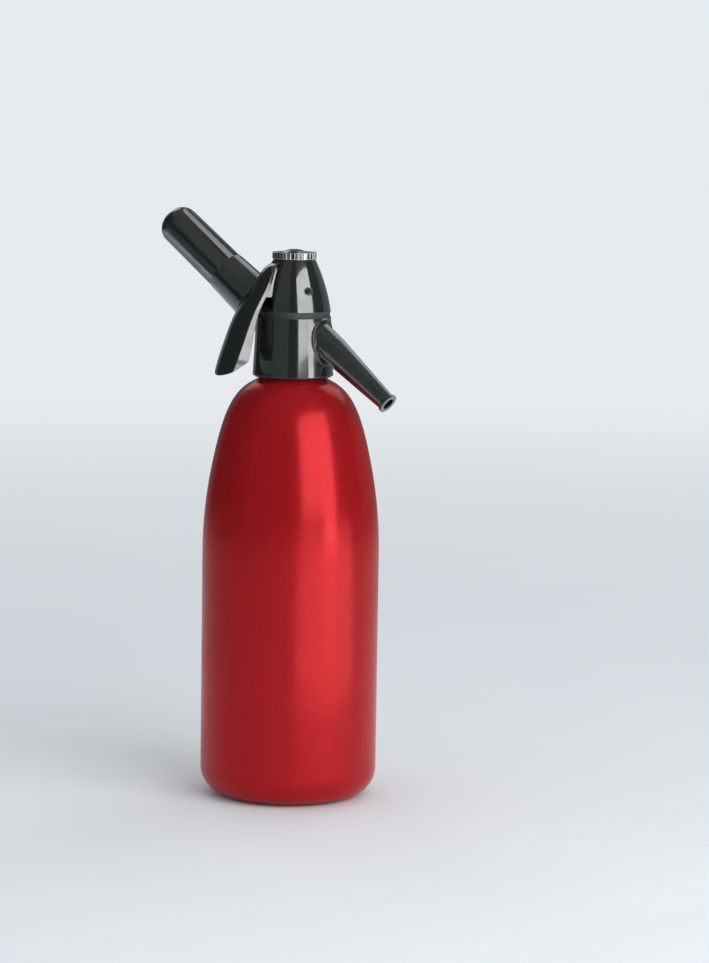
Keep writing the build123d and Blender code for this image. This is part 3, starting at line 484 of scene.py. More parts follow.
@dataclass(frozen=True)
class MetallicLacquer(Finish):
    """Clear-coated metallic lacquer on a drawn aluminium bottle.

    Attributes:
        bare: Colour of the metal where there is no lacquer.
        neck: Height above which the neck is bare, in metres.
        thread_pitch: Pitch of the neck's thread, in metres.
        thread_start: Height of its first turn above where the neck is bare, in metres.
        scuffs: Height that scuffs reach above the floor, in metres.
        depth: Depth of the thread, in metres.
        skin: Depth of the lacquer's waviness, as a share of that.
        flakes: Metal flakes per metre.
        shade: Brightness of its darker flakes beside the colour's own.
        glitter: How much those flakes darken the colour.
        mottle: How much slow blotches darken it.
        sparkle: How much rougher the flakes are.
        metallic: Share of the lacquer that mirrors as metal.
        tint: Colour of its straight reflections.
        coat: Strength of the clear coat.
        coat_roughness: How rough the clear coat is.
        dust: Colour of the dust on it.
    """

    bare: Colour = ALUMINIUM
    neck: float = 223.6 * MM
    thread_pitch: float = 3.0 * MM
    thread_start: float = 1.5 * MM
    scuffs: float = 1.6 * MM
    depth: float = 0.7 * MM
    skin: float = 0.02
    flakes: float = 3200.0
    shade: float = 0.72
    glitter: float = 0.55
    mottle: float = 0.25
    sparkle: float = 0.05
    metallic: float = 0.33
    tint: Colour = (1.0, 0.12, 0.12)
    coat: float = 0.12
    coat_roughness: float = 0.18
    dust: Colour = (0.50, 0.40, 0.38)

    def material(self, effects: Effects) -> bpy.types.Material:
        """Builds the lacquer.

        Args:
            effects: The shared effects.

        Returns:
            The material.
        """
        material, sheet, shader, place = self.start()
        flakes = sheet.add("TexVoronoi")
        sheet.feed(flakes.inputs["Vector"], place)
        sheet.feed(flakes.inputs["Scale"], self.flakes)
        glint = sheet.ramp(flakes.outputs["Color"], 0.2, 0.9)
        grain = sheet.place(effects.moulded_grain, Vector=place, Grain=1100.0, Wave=70.0)
        hands = sheet.place(effects.handling, Vector=place, Smudge_Size=24.0, Scratches=0.5)
        dust = sheet.place(effects.settled_dust, Vector=place, Amount=0.10)

        deep = tuple(self.shade * channel for channel in self.colour)
        red = sheet.blend(sheet.math("MULTIPLY", glint, self.glitter), self.colour, deep)
        blotches = sheet.math("MULTIPLY", grain.outputs["Mottle"], self.mottle)
        red = sheet.blend(blotches, red, deep)
        red = sheet.blend(dust.outputs["Mask"], red, self.dust)

        metal = self._bare_mask(sheet, place)
        sheet.feed(shader.inputs["Base Color"], sheet.blend(metal, red, self.bare))
        shader.inputs["Metallic"].default_value = self.metallic
        shader.inputs["Specular Tint"].default_value = (*self.tint, 1.0)
        shader.inputs["Coat Roughness"].default_value = self.coat_roughness
        uncoated = sheet.math("MAXIMUM", metal, hands.outputs["Scratch"])
        sheet.feed(shader.inputs["Coat Weight"], sheet.ramp(uncoated, 0.0, 1.0, self.coat, 0.0))
        rough = self.roughness(sheet, hands.outputs["Smudge"])
        rough = sheet.math("ADD", rough, sheet.math("MULTIPLY", glint, self.sparkle))
        scratch = sheet.math("MULTIPLY", hands.outputs["Scratch"], self.scratched)
        sheet.feed(shader.inputs["Roughness"], sheet.math("ADD", rough, scratch))
        skin = sheet.math("MULTIPLY", grain.outputs["Height"], self.skin)
        height = sheet.math("ADD", skin, self._thread(sheet, place))
        self.bump(sheet, shader, height, self.depth)
        return material

    def _bare_mask(self, sheet: Sheet, place: bpy.types.NodeSocket) -> bpy.types.NodeSocket:
        """Where the metal shows: neck, inside, and scuffs on the ring that it stands on.

        Args:
            sheet: The material's sheet.
            place: Object coordinates.

        Returns:
            The mask.
        """
        height = sheet.parts(place)["Z"]
        neck = sheet.ramp(height, self.neck, self.neck + 0.1 * MM)
        outward = sheet.vector("MULTIPLY", place, (1.0, 1.0, 0.0)).outputs["Vector"]
        facing = sheet.vector("DOT_PRODUCT", outward, sheet.add("NewGeometry").outputs["Normal"])
        inside = sheet.ramp(facing.outputs["Value"], -0.002, -0.001, 1.0, 0.0)
        scuffs = sheet.ramp(sheet.noise(place, 0.0022, 5.0, 0.65), 0.56, 0.62)
        low = sheet.ramp(height, 0.1 * MM, self.scuffs, 1.0, 0.0)
        base = sheet.math("MULTIPLY", scuffs, low)
        return sheet.math("MAXIMUM", sheet.math("MAXIMUM", neck, inside), base)

    def _thread(self, sheet: Sheet, place: bpy.types.NodeSocket) -> bpy.types.NodeSocket:
        """Height of the rolled thread round the neck.

        Args:
            sheet: The material's sheet.
            place: Object coordinates.

        Returns:
            The height.
        """
        parts = sheet.parts(place)
        turn = sheet.math("ARCTAN2", parts["Y"], parts["X"])
        climb = sheet.math("MULTIPLY", parts["Z"], 2.0 * math.pi / self.thread_pitch)
        phase = sheet.math("SUBTRACT", climb, turn)
        ridge = sheet.ramp(sheet.math("SINE", phase), -0.6, 0.6)
        start = self.neck + self.thread_start
        cut = sheet.ramp(parts["Z"], start, start + 0.6 * MM)
        return sheet.math("MULTIPLY", ridge, cut)


@dataclass(frozen=True)
class MouldedPlastic(Finish):
    """Injection-moulded plastic with a faint skin, worn edges (on the holder a painted highlight)
    and a parting line.

    Attributes:
        edge: Radius that hard edges are rounded to, in metres.
        parting: Normal of the plane of the parting line, or None.
        through: A point on that plane, in metres.
        seam: Half widths of the parting line's crest and foot, in metres.
        seam_height: Height of its crest, as a share of the depth.
        coat: Strength of the glossy skin.
        smudged: How much of that strength is left under smudges.
        coat_roughness: How rough that skin is.
        refraction: Refractive index of the plastic and its skin.
        dust: Colour of the dust on it.
        swirl: Brightness of its slow swirls beside the colour's own.
        swirls: How strongly they show.
        depth: What a height of 1 stands for in its relief, in metres.
        grain: Depth of the skin's grain, in metres.
        groove: Height of the middle of a groove that has gone dull, in metres, or 0.
        groove_half: Half of the groove's height, in metres.
        groove_reach: Radius that the groove stays within, in metres.
        groove_roughness: How much rougher the groove is.
        edge_rub_and_highlight: How strongly its edges are marked as worn; on the holder so strongly
            that the marks are a painted highlight along the ridges.
        rub_roughness: How much rougher the marked edges are.
        edge_wear_and_highlight: Colour of the marked edges, or None for a paler shade of its own;
            the holder's pale grey is a painted highlight.
    """

    smoother: float = 0.02
    rougher: float = 0.03
    edge: float = 0.45 * MM
    parting: tuple[float, float, float] | None = None
    through: tuple[float, float, float] = (0.0, 0.0, 0.0)
    seam: tuple[float, float] = (0.04 * MM, 0.14 * MM)
    seam_height: float = 0.45
    coat: float = 1.0
    smudged: float = 0.7
    coat_roughness: float = 0.035
    refraction: float = 1.7
    dust: Colour = (0.33, 0.33, 0.31)
    swirl: float = 1.35
    swirls: float = 0.6
    depth: float = 0.1 * MM
    grain: float = 0.003 * MM
    groove: float = 0.0
    groove_half: float = 1.87 * MM
    groove_reach: float = 20.1 * MM
    groove_roughness: float = 0.55
    edge_rub_and_highlight: float = 0.35
    rub_roughness: float = 0.3
    edge_wear_and_highlight: Colour | None = None

    def material(self, effects: Effects) -> bpy.types.Material:
        """Builds the plastic.

        Args:
            effects: The shared effects.

        Returns:
            The material.
        """
        material, sheet, shader, place = self.start()
        edges = sheet.place(effects.soft_edges, Radius=self.edge, Rub=self.edge_rub_and_highlight)
        grain = sheet.place(effects.moulded_grain, Vector=place, Grain=2200.0, Wave=130.0)
        hands = sheet.place(effects.handling, Vector=place, Smudge_Size=70.0, Scratches=0.25)
        dust = sheet.place(effects.settled_dust, Vector=place, Amount=0.05)

        # Pale edge colour: worn edges, and on the holder a painted highlight along the grip's
        # ridges.
        pale = self.edge_wear_and_highlight or tuple(min(1.0, 2.2 * channel + 0.03) for channel in self.colour)
        tone = tuple(self.swirl * channel for channel in self.colour)
        swirls = sheet.math("MULTIPLY", grain.outputs["Mottle"], self.swirls)
        base = sheet.blend(swirls, self.colour, tone)
        base = sheet.blend(edges.outputs["WearAndHighlight"], base, pale)
        base = sheet.blend(dust.outputs["Mask"], base, self.dust)
        sheet.feed(shader.inputs["Base Color"], base)

        rough = self.roughness(sheet, hands.outputs["Smudge"])
        scratch = sheet.math("MULTIPLY", hands.outputs["Scratch"], self.scratched)
        rough = sheet.math("ADD", rough, scratch)
        edge_wear_and_highlight = sheet.math("MULTIPLY", edges.outputs["WearAndHighlight"], self.rub_roughness)
        rough = sheet.math("ADD", rough, edge_wear_and_highlight)
        coat = sheet.ramp(hands.outputs["Smudge"], 0.0, 1.0, self.coat, self.smudged * self.coat)
        if self.groove:
            dull = self._dull_groove(sheet, place)
            rough = sheet.math("ADD", rough, sheet.math("MULTIPLY", dull, self.groove_roughness))
            coat = sheet.math("MULTIPLY", coat, sheet.math("SUBTRACT", 1.0, dull))
        sheet.feed(shader.inputs["Roughness"], rough)
        sheet.feed(shader.inputs["Coat Weight"], coat if self.coat else 0.0)
        shader.inputs["Coat Roughness"].default_value = self.coat_roughness
        shader.inputs["Coat IOR"].default_value = self.refraction
        shader.inputs["IOR"].default_value = self.refraction

        height = sheet.math("MULTIPLY", grain.outputs["Height"], self.grain / self.depth)
        if self.parting is not None:
            height = sheet.math("ADD", height, self._parting_line(sheet, place))
        self.bump(sheet, shader, height, self.depth, edges.outputs["Normal"])
        return material

    def _dull_groove(self, sheet: Sheet, place: bpy.types.NodeSocket) -> bpy.types.NodeSocket:
        """Where polish never reaches, inside a groove round the piece.

        Args:
            sheet: The material's sheet.
            place: Object coordinates.

        Returns:
            The mask.
        """
        offset = sheet.math("SUBTRACT", sheet.parts(place)["Z"], self.groove)
        away = sheet.math("ABSOLUTE", offset)
        level = sheet.ramp(away, 0.8 * self.groove_half, self.groove_half, 1.0, 0.0)
        reach = self.groove_reach
        near = sheet.ramp(sheet.radius(place), reach, reach + 0.2 * MM, 1.0, 0.0)
        return sheet.math("MULTIPLY", level, near)

    def _parting_line(self, sheet: Sheet, place: bpy.types.NodeSocket) -> bpy.types.NodeSocket:
        """Height of the fine ridge where the mould's halves met.

        Args:
            sheet: The material's sheet.
            place: Object coordinates.

        Returns:
            The height.
        """
        offset = sheet.vector("SUBTRACT", place, self.through).outputs["Vector"]
        away = sheet.vector("DOT_PRODUCT", offset, self.parting).outputs["Value"]
        crest, foot = self.seam
        return sheet.ramp(sheet.math("ABSOLUTE", away), crest, foot, self.seam_height, 0.0)


@dataclass(frozen=True)
class WorkedMetal(Finish):
    """Turned, ground or plated metal.

    Attributes:
        axle: The line that its turning marks go round.
        marks: Depth of the turning marks, in metres.
        tarnish: Colour that it dulls to.
        dulling: How far handled places have dulled.
        fogging: How much rougher handled places are.
        burnish: Brightness of worn edges beside the colour's own.
        edge: Radius that hard edges are rounded to, in metres.
        pitch: Turning marks per metre.
        lands: Radius of the lands between its flutes, in metres, or 0 for no flutes.
        flute_depth: Depth below the lands where the painted shade in the flutes is full, in metres.
        flute_lip: Depth below the lands where that painted shade starts, in metres.
        flute_rim: Depth below the lands past which the piece has no flutes, in metres.
        flute_shade: How much of the tarnish's brightness the painted shade in the flutes keeps.
    """

    axle: Axle = UPRIGHT
    marks: float = 0.004 * MM
    tarnish: Colour = (0.42, 0.42, 0.42)
    dulling: float = 0.35
    fogging: float = 0.10
    burnish: float = 1.12
    edge: float = 0.2 * MM
    pitch: float = 3500.0
    lands: float = 0.0
    flute_depth: float = 0.50 * MM
    flute_lip: float = 0.30 * MM
    flute_rim: float = 0.7 * MM
    flute_shade: float = 0.40

    def material(self, effects: Effects) -> bpy.types.Material:
        """Builds the metal.

        Args:
            effects: The shared effects.

        Returns:
            The material.
        """
        material, sheet, shader, place = self.start()
        lay = sheet.add("Mapping")
        lay.inputs["Location"].default_value = self.axle.foot
        lay.inputs["Rotation"].default_value = self.axle.placement().to_euler()
        lay.vector_type = "TEXTURE"
        sheet.feed(lay.inputs["Vector"], place)
        lathe = sheet.place(effects.turning_marks, Vector=lay.outputs["Vector"], Pitch=self.pitch)
        edges = sheet.place(effects.soft_edges, Radius=self.edge, Rub=0.5)
        hands = sheet.place(effects.handling, Vector=place, Smudge_Size=160.0, Scratches=0.5)

        handled = sheet.math("MULTIPLY", hands.outputs["Smudge"], self.dulling)
        dulled = sheet.blend(handled, self.colour, self.tarnish)
        # Painted shade: the flutes are darkened to a share of the tarnish.
        if self.lands:
            dulled = sheet.blend(self._flute_shade(sheet, lay.outputs["Vector"]), dulled,
                                 tuple(self.flute_shade * channel for channel in self.tarnish))
        bright = tuple(min(1.0, self.burnish * channel) for channel in self.colour)
        sheet.feed(shader.inputs["Base Color"], sheet.blend(edges.outputs["WearAndHighlight"], dulled, bright))
        shader.inputs["Metallic"].default_value = 1.0
        rough = self.roughness(sheet, lathe.outputs["Height"], 0.3, 0.7)
        fog = sheet.math("MULTIPLY", hands.outputs["Smudge"], self.fogging)
        rough = sheet.math("ADD", rough, fog)
        sheet.feed(shader.inputs["Roughness"], rough)
        self.bump(sheet, shader, lathe.outputs["Height"], self.marks, edges.outputs["Normal"])
        return material

    def _flute_shade(self, sheet: Sheet, place: bpy.types.NodeSocket) -> bpy.types.NodeSocket:
        """Where the flutes between the lands are darkened with painted shade.

        Args:
            sheet: The material's sheet.
            place: Coordinates along the piece's axle.

        Returns:
            The mask.
        """
        radius = sheet.radius(place)
        full, lip = self.lands - self.flute_depth, self.lands - self.flute_lip
        sunk = sheet.ramp(radius, full, lip, 1.0, 0.0)
        rim = self.lands - self.flute_rim
        outer = sheet.ramp(radius, rim, rim + 0.1 * MM)
        return sheet.math("MULTIPLY", sunk, outer)


@dataclass(frozen=True)
class MouldedRubber(Finish):
    """Soft rubber with a powdery skin.

    Attributes:
        edge: Radius that hard edges are rounded to, in metres.
        bloom: How much paler its powder is.
        grain: Depth of the skin's grain, in metres.
    """

    smoother: float = 0.08
    rougher: float = 0.12
    edge: float = 0.25 * MM
    bloom: float = 0.05
    grain: float = 0.02 * MM

    def material(self, effects: Effects) -> bpy.types.Material:
        """Builds the rubber.

        Args:
            effects: The shared effects.

        Returns:
            The material.
        """
        material, sheet, shader, place = self.start()
        edges = sheet.place(effects.soft_edges, Radius=self.edge, Rub=0.4)
        grain = sheet.place(effects.moulded_grain, Vector=place, Grain=5000.0, Wave=300.0)
        bloom = tuple(channel + self.bloom for channel in self.colour)
        tone = sheet.blend(grain.outputs["Mottle"], self.colour, bloom)
        sheet.feed(shader.inputs["Base Color"], sheet.blend(edges.outputs["WearAndHighlight"], tone, bloom))
        sheet.feed(shader.inputs["Roughness"],
                   self.roughness(sheet, grain.outputs["Mottle"], 0.3, 0.7))
        self.bump(sheet, shader, grain.outputs["Height"], self.grain, edges.outputs["Normal"])
        return material


GASKET_RUBBER = MouldedRubber("gasket_rubber", (0.030, 0.030, 0.030), Sheen.MATTE)


class FinishBook:
    """The finishes of this object, each built when it is first asked for."""

    def __init__(self) -> None:
        """Builds the shared effects."""
        self.effects = Effects()
        self.made: dict[str, bpy.types.Material] = {}

    def __call__(self, finish: Finish) -> bpy.types.Material:
        """Finds the material of a finish, and builds it the first time.

        Args:
            finish: The finish.

        Returns:
            Its material.
        """
        if finish.name not in self.made:
            self.made[finish.name] = finish.material(self.effects)
        return self.made[finish.name]


# --------------------------------------------------------------- sub-assemblies
@dataclass
class SubAssembly(ABC):
    """A group of pieces that are built and dressed together.

    Attributes:
        book: The finishes.
    """

    book: FinishBook

    @abstractmethod
    def build(self) -> None:
        """Builds and dresses the pieces."""

    def dress(self, node: str, finish: Finish) -> bpy.types.Object:
        """Gives a CAD node its finish.

        Args:
            node: The node's name.
            finish: The finish.

        Returns:
            The node's object.
        """
        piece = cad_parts[node]
        piece.data.materials.clear()
        piece.data.materials.append(self.book(finish))
        log.info("%s is dressed in %s", node, finish.name)
        return piece


@dataclass
class Bottle(SubAssembly):
    """The lacquered bottle and the gasket on its rim."""

    lacquer: MetallicLacquer = MetallicLacquer("red_metallic_lacquer", (0.40, 0.010, 0.014),
                                               Sheen.SILK)
    rubber: MouldedRubber = GASKET_RUBBER

    def build(self) -> None:
        """Dresses the bottle and its gasket."""
        self.dress("bottle", self.lacquer)
        self.dress("neck_gasket", self.rubber)


@dataclass
class Head(SubAssembly):
    """The moulded head, its threaded insert, and the pin of the lever."""

    plastic: MouldedPlastic = MouldedPlastic("head_plastic", BLACK, Sheen.GLOSS, edge=0.9 * MM,
                                             parting=ACROSS, groove=257.07 * MM)
    insert: WorkedMetal = WorkedMetal("machined_aluminium", ALUMINIUM, Sheen.SATIN)
    # Painted shade: the pin end is coloured near-black to stand for the shade of its recess.
    pin: WorkedMetal = WorkedMetal("pin_steel_painted_shade", (0.022, 0.024, 0.024), Sheen.MATTE,
                                   tarnish=(0.012, 0.012, 0.012))

    def build(self) -> None:
        """Dresses the casing, the insert and the pin."""
        self.dress("head_casing", self.plastic)
        self.dress("neck_insert", self.insert)
        self.dress("lever_pin", self.pin)


@dataclass
class Valve(SubAssembly):
    """Everything on the head's axis: the valve, its plunger, and the tubes below it."""

    white: MouldedPlastic = MouldedPlastic("white_plastic", (0.78, 0.78, 0.74), Sheen.MATTE,
                                           coat=0.0, grain=0.02 * MM, parting=ACROSS)
    steel: WorkedMetal = WorkedMetal("ground_steel", STEEL, Sheen.SATIN)
    brass: WorkedMetal = WorkedMetal("turned_brass", BRASS, Sheen.SATIN, tarnish=DULL_BRASS)
    rubber: MouldedRubber = GASKET_RUBBER

    def build(self) -> None:
        """Dresses the valve's pieces and winds its spring."""
        for node in ("valve_body", "valve_body_nut", "riser_tube", "measuring_tube"):
            self.dress(node, self.white)
        self.dress("valve_plunger", self.steel)
        for node in ("riser_seal", "valve_seal", "stem_oring"):
            self.dress(node, self.rubber)
        self.dress("plunger_cap", self.brass)
        ValveSpring(self.book, self.steel).build()


@dataclass
class ValveSpring(SubAssembly):
    """The spring under the plunger's cap, which flattens as the valve opens; the coil here keeps
    one length.

    Attributes:
        steel: Its finish.
        coil: Radius of the coil to the middle of the wire, in metres.
        wire: Radius of the wire, in metres.
        turns: Number of turns.
        base: Height of the wire's middle at the lowest turn, in metres.
        rise: Height that the wire climbs, in metres.
        travel: How far the cap pushes it down, in metres. Not used.
        turn_steps: Steps in one turn.
        wire_sides: Sides of the wire.
    """

    steel: WorkedMetal
    coil: float = 4.6 * MM
    wire: float = 0.45 * MM
    turns: float = 4.5
    base: float = 257.78 * MM
    rise: float = 5.99 * MM
    travel: float = 1.0908 * MM
    turn_steps: int = 48
    wire_sides: int = 14

    def build(self) -> None:
        """Winds the spring, dresses it, hides the CAD spring and hangs the coil on the head."""
        bm = bmesh.new()
        bmesh.ops.create_circle(bm, cap_ends=False, segments=self.wire_sides, radius=self.wire)
        bmesh.ops.rotate(bm, verts=bm.verts, cent=(0, 0, 0),
                         matrix=Matrix.Rotation(math.radians(90.0), 3, "X"))
        bmesh.ops.translate(bm, verts=bm.verts, vec=(self.coil, 0.0, self.base))
        steps = round(self.turns * self.turn_steps)
        bmesh.ops.spin(bm, geom=[*bm.verts, *bm.edges], cent=(0, 0, 0), axis=UP,
                       dvec=UP * (self.rise / steps), angle=2.0 * math.pi * self.turns, steps=steps)
        bmesh.ops.holes_fill(bm, edges=[edge for edge in bm.edges if edge.is_boundary], sides=0)
        bmesh.ops.recalc_face_normals(bm, faces=bm.faces)
        for face in bm.faces:
            face.smooth = len(face.verts) == 4
        mesh = bpy.data.meshes.new("spring_coil")
        bm.to_mesh(mesh)
        bm.free()
        mesh.materials.append(self.book(self.steel))
        piece = bpy.data.objects.new("spring_coil", mesh)
        bpy.context.scene.collection.objects.link(piece)
        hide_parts("valve_spring")
        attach(piece, "head")
        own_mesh(piece)
        log.info("spring_coil is wound with %d turns of wire", math.ceil(self.turns))


@dataclass
class Lever(SubAssembly):
    """The press lever."""

    plastic: MouldedPlastic = MouldedPlastic("lever_plastic", BLACK, Sheen.GLOSS, edge=0.6 * MM)

    def build(self) -> None:
        """Dresses the lever."""
        self.dress("lever", self.plastic)


@dataclass
class Crown(SubAssembly):
    """The fluted ring on top of the head and the dome that it holds."""

    chrome: WorkedMetal = WorkedMetal("bright_chrome", (0.66, 0.67, 0.66), Sheen.BRIGHT,
                                      marks=0.001 * MM, tarnish=(0.42, 0.42, 0.38),
                                      lands=11.65 * MM)
    plastic: MouldedPlastic = MouldedPlastic("dome_plastic", BLACK, Sheen.GLOSS)

    def build(self) -> None:
        """Dresses the ring and the dome."""
        self.dress("top_ring", self.chrome)
        self.dress("dome_cap", self.plastic)


@dataclass
class Spout(SubAssembly):
    """The sloping spout and its seal."""

    plastic: MouldedPlastic = MouldedPlastic("spout_plastic", BLACK, Sheen.GLOSS, edge=0.35 * MM,
                                             parting=ACROSS)
    rubber: MouldedRubber = GASKET_RUBBER

    def build(self) -> None:
        """Dresses the spout and its seal."""
        self.dress("spout", self.plastic)
        self.dress("spout_oring", self.rubber)


@dataclass
class GasSide(SubAssembly):
    """The charger holder, the charger in it, and the piercer that it screws onto."""

    # The holder's edges are marked very strongly in pale grey: a painted highlight along the grip's
    # ridges and rims.
    plastic: MouldedPlastic = MouldedPlastic("holder_plastic", BLACK, Sheen.GLOSS, edge=0.45 * MM,
                                             edge_rub_and_highlight=3.0, edge_wear_and_highlight=(0.30, 0.31, 0.29))
    brass: WorkedMetal = WorkedMetal("turned_brass_sloping", BRASS, Sheen.SATIN,
                                     axle=HOLDER_LINE, tarnish=DULL_BRASS)
    zinc: WorkedMetal = WorkedMetal("zinc_plate", (0.66, 0.67, 0.69), Sheen.SATIN,
                                    axle=HOLDER_LINE, tarnish=(0.50, 0.52, 0.50))
    steel: WorkedMetal = WorkedMetal("ground_steel_sloping", STEEL, Sheen.SATIN,
                                     axle=HOLDER_LINE)
    rubber: MouldedRubber = GASKET_RUBBER

    def build(self) -> None:
        """Dresses the gas side's pieces."""
        self.dress("charger_holder", self.plastic)
        for node in ("holder_insert", "piercer_body"):
            self.dress(node, self.brass)
        self.dress("co2_charger", self.zinc)
        self.dress("piercing_pin", self.steel)
        for node in ("piercer_gasket", "check_valve"):
            self.dress(node, self.rubber)


# --------------------------------------------------------------------- studio
@dataclass(frozen=True)
class Softbox:
    """A square lamp that faces the object.

    Attributes:
        name: The lamp's name.
        side: Degrees to the right of the camera, seen from the object.
        rise: Degrees above the horizontal, seen from the object.
        distance: Metres from the object.
        width: Metres.
        height: Metres.
        radiance: Brightness of its face.
        lights: Whether it lights the object, or is only mirrored in it.
    """

    name: str
    side: float
    rise: float
    distance: float
    width: float
    height: float
    radiance: float
    lights: bool = True


@dataclass(frozen=True)
class Card:
    """A tall curved card that only reflections see.

    Attributes:
        name: The card's name.
        left: Its left edge, in degrees to the right of the camera.
        right: Its right edge.
        shade: How pale its cloth is.
    """

    name: str
    left: float
    right: float
    shade: float


@dataclass
class Studio:
    """Floor, surroundings, lamps, dark cards and camera.

    Attributes:
        camera_azimuth: Direction of the camera about the object, in degrees from +X.
        camera_distance: Metres from the object's axis.
        camera_height: Metres above the floor.
        camera_pitch: Degrees that it looks down.
        camera_roll: Degrees that it is turned anticlockwise.
        camera_lens: Focal length in millimetres.
        camera_sensor: Width of the sensor in millimetres.
        camera_limits: Nearest and farthest that it sees, in metres.
        camera_shift: Sideways shift as a share of the longer side.
        aim: Point that the lamps face.
        pale: Colour of the surround.
        ambient: Share of it that lights the object.
        mirrored: Share of it that reflections show.
        floor_radius: Metres.
        floor_sides: Sides of the floor's outline.
        floor_paint: The two shades of the floor.
        floor_mottle: Size of its blotches, in metres.
        floor_fade: Where it starts and ends to fade into the surround, in metres.
        card_distance: Metres from the object's axis.
        card_height: Metres.
        card_strips: Flat strips in one card.
        lamps: The lamps.
        cards: The cards.
    """

    camera_azimuth: float = -55.43
    camera_distance: float = 1.7108
    camera_height: float = 0.3843
    camera_pitch: float = 7.216
    camera_roll: float = 0.74
    camera_lens: float = 121.4
    camera_sensor: float = 36.0
    camera_limits: tuple[float, float] = (0.05, 40.0)
    camera_shift: float = 0.0654
    aim: Vector = field(default_factory=lambda: Vector((0.0, 0.0, 0.25)))
    pale: Colour = (0.79, 0.83, 0.86)
    ambient: float = 0.80
    mirrored: float = 0.22
    floor_radius: float = 9.0
    floor_sides: int = 96
    floor_paint: tuple[Colour, Colour] = ((0.74, 0.77, 0.79), (0.78, 0.80, 0.82))
    floor_mottle: float = 0.12
    floor_fade: tuple[float, float] = (0.35, 2.2)
    card_distance: float = 2.4
    card_height: float = 3.0
    card_strips: int = 12
    lamps: tuple[Softbox, ...] = (
        Softbox("key_softbox", 38.5, 20.0, 1.35, 1.24, 0.98, 3.75),
        Softbox("low_softbox", 53.0, -5.24, 1.35, 0.38, 0.2536, 3.7, lights=False),
        Softbox("body_strip", 46.0, -27.0, 0.38, 0.50, 0.17, 1.75, lights=False),
        Softbox("right_back_softbox", 143.0, 42.0, 1.7, 0.8, 1.3, 0.9),
        Softbox("left_back_softbox", -158.0, 34.0, 1.6, 0.5, 0.9, 1.0),
    )
    cards: tuple[Card, ...] = (
        Card("left_card", -140.0, -66.0, 0.03),
        Card("left_drape", -66.0, -14.0, 0.20),
        Card("front_card", -14.0, 11.0, 0.03),
        Card("right_card", 68.0, 112.0, 0.05),
    )

    def build(self) -> None:
        """Builds the whole studio."""
        self._world()
        self._floor()
        for lamp in self.lamps:
            self._lamp(lamp)
        for card in self.cards:
            self._card(card)
        self._camera()

    def _surround(self, sheet: Sheet) -> tuple[bpy.types.NodeSocket, bpy.types.NodeSocket]:
        """Brightness of the surround for each kind of ray.

        Args:
            sheet: Sheet of the world, or of what blends into it.

        Returns:
            1 for every ray but a diffuse one, and the brightness.
        """
        path = sheet.add("LightPath").outputs
        shown = sheet.math("MAXIMUM", path["Is Camera Ray"], path["Is Transmission Ray"])
        plain = sheet.math("MULTIPLY_ADD", shown, 1.0 - self.ambient, self.ambient)
        mirrored = sheet.math("MULTIPLY_ADD", path["Is Glossy Ray"], self.mirrored - self.ambient,
                              plain)
        return sheet.math("MAXIMUM", shown, path["Is Glossy Ray"]), mirrored

    def _world(self) -> None:
        """A plain pale surround that lights the object weakly."""
        world = bpy.data.worlds.new("studio")
        world.use_nodes = True
        bpy.context.scene.world = world
        sheet = Sheet(world.node_tree)
        back = world.node_tree.nodes["Background"]
        back.inputs["Color"].default_value = (*self.pale, 1.0)
        sheet.feed(back.inputs["Strength"], self._surround(sheet)[1])

    def _floor(self) -> None:
        """A wide pale floor that fades into the surround and keeps the object's shadow."""
        bm = bmesh.new()
        bmesh.ops.create_circle(bm, cap_ends=True, segments=self.floor_sides,
                                radius=self.floor_radius)
        mesh = bpy.data.meshes.new("floor")
        bm.to_mesh(mesh)
        bm.free()
        floor = bpy.data.objects.new("floor", mesh)
        bpy.context.scene.collection.objects.link(floor)
        floor.location.z = -0.2 * MM
        material = bpy.data.materials.new("floor_paint")
        material.use_nodes = True
        sheet = Sheet(material.node_tree)
        shader = material.node_tree.nodes["Principled BSDF"]
        place = sheet.add("TexCoord").outputs["Object"]
        mottle = sheet.noise(place, self.floor_mottle, 3.0)
        sheet.feed(shader.inputs["Base Color"], sheet.blend(mottle, *self.floor_paint))
        shader.inputs["Roughness"].default_value = 0.7
        glow = sheet.add("Emission")
        glow.inputs["Color"].default_value = (*self.pale, 1.0)
        seen, brightness = self._surround(sheet)
        sheet.feed(glow.inputs["Strength"], brightness)
        mixer = sheet.add("MixShader")
        reach = sheet.vector("LENGTH", place).outputs["Value"]
        far = sheet.ramp(reach, *self.floor_fade)
        sheet.feed(mixer.inputs["Fac"], sheet.math("MULTIPLY", far, seen))
        sheet.feed(mixer.inputs[1], shader.outputs["BSDF"])
        sheet.feed(mixer.inputs[2], glow.outputs["Emission"])
        output = material.node_tree.nodes["Material Output"]
        material.node_tree.links.new(mixer.outputs["Shader"], output.inputs["Surface"])
        mesh.materials.append(material)

    def _spot(self, side: float, rise: float, distance: float) -> Vector:
        """Point at a side and a rise from the object.

        Args:
            side: Degrees to the right of the camera.
            rise: Degrees above the horizontal.
            distance: Metres.

        Returns:
            The point.
        """
        return self.aim + polar(self.camera_azimuth + side, rise) * distance

    def _lamp(self, lamp: Softbox) -> None:
        """Adds a softbox that faces the object.

        Args:
            lamp: What the softbox is like.
        """
        data = bpy.data.lights.new(lamp.name, "AREA")
        data.shape = "RECTANGLE"
        data.size, data.size_y = lamp.width, lamp.height
        data.energy = lamp.radiance * math.pi * lamp.width * lamp.height
        holder = bpy.data.objects.new(lamp.name, data)
        bpy.context.scene.collection.objects.link(holder)
        holder.location = self._spot(lamp.side, lamp.rise, lamp.distance)
        holder.rotation_euler = (holder.location - self.aim).to_track_quat("Z", "Y").to_euler()
        holder.visible_camera = False
        holder.visible_diffuse = lamp.lights

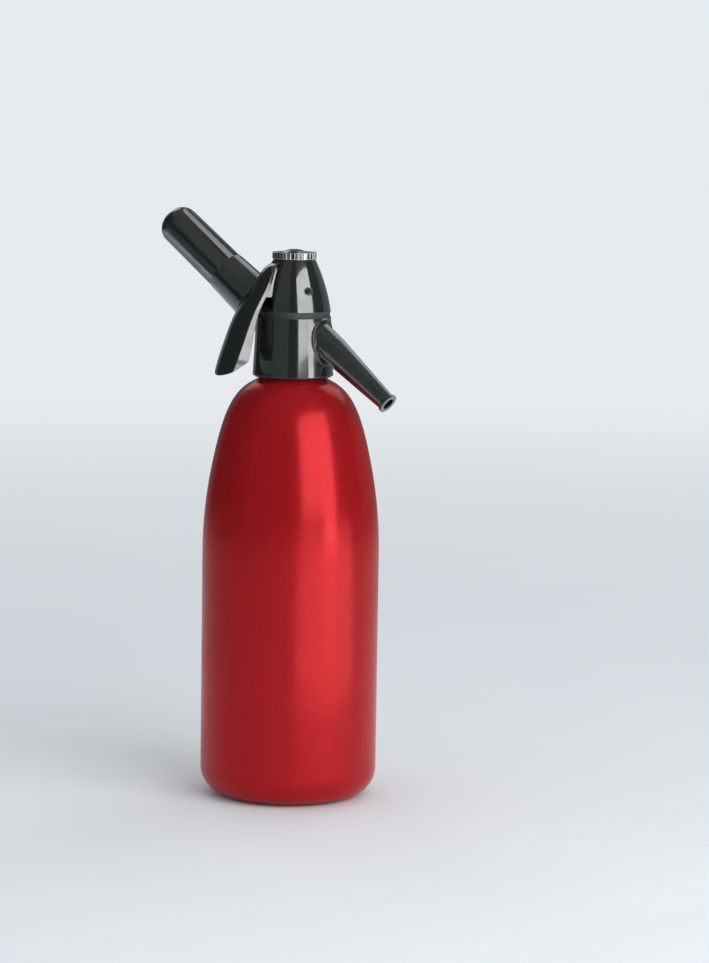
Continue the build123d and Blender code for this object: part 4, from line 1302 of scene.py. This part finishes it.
    def _card(self, card: Card) -> None:
        """Adds a card round the object.

        Args:
            card: What the card is like.
        """
        bm = bmesh.new()
        start = polar(self.camera_azimuth + card.left) * self.card_distance
        low = bm.verts.new(start)
        high = bm.verts.new(start + self.card_height * UP)
        edge = bm.edges.new((low, high))
        bmesh.ops.spin(bm, geom=[low, high, edge], cent=(0, 0, 0), axis=UP,
                       angle=math.radians(card.right - card.left), steps=self.card_strips)
        mesh = bpy.data.meshes.new(card.name)
        bm.to_mesh(mesh)
        bm.free()
        sheet = bpy.data.objects.new(card.name, mesh)
        bpy.context.scene.collection.objects.link(sheet)
        material = bpy.data.materials.new(card.name + "_cloth")
        material.use_nodes = True
        shader = material.node_tree.nodes["Principled BSDF"]
        shader.inputs["Base Color"].default_value = (card.shade, card.shade, card.shade, 1.0)
        shader.inputs["Roughness"].default_value = 0.9
        mesh.materials.append(material)
        sheet.visible_camera = False
        sheet.visible_diffuse = False
        sheet.visible_shadow = False

    def _camera(self) -> None:
        """Adds the camera."""
        data = bpy.data.cameras.new("camera")
        data.sensor_width = self.camera_sensor
        data.lens = self.camera_lens
        data.shift_x = self.camera_shift
        data.clip_start, data.clip_end = self.camera_limits
        camera = bpy.data.objects.new("camera", data)
        bpy.context.scene.collection.objects.link(camera)
        spot = polar(self.camera_azimuth) * self.camera_distance
        spot.z = self.camera_height
        camera.matrix_world = (
            Matrix.Translation(spot)
            @ Matrix.Rotation(math.radians(self.camera_azimuth + 90.0), 4, "Z")
            @ Matrix.Rotation(math.radians(90.0 - self.camera_pitch), 4, "X")
            @ Matrix.Rotation(math.radians(self.camera_roll), 4, "Z")
        )
        bpy.context.scene.camera = camera


def main() -> None:
    """Builds the sub-assemblies in order, then the studio."""
    logging.basicConfig(level=logging.INFO, format="%(message)s")
    book = FinishBook()
    for part in (Bottle, Head, Valve, Lever, Crown, Spout, GasSide):
        part(book).build()
        log.info("%s is ready", part.__name__)
    Studio().build()
    bpy.context.scene.view_settings.view_transform = "Standard"


if __name__ == "__main__":
    main()
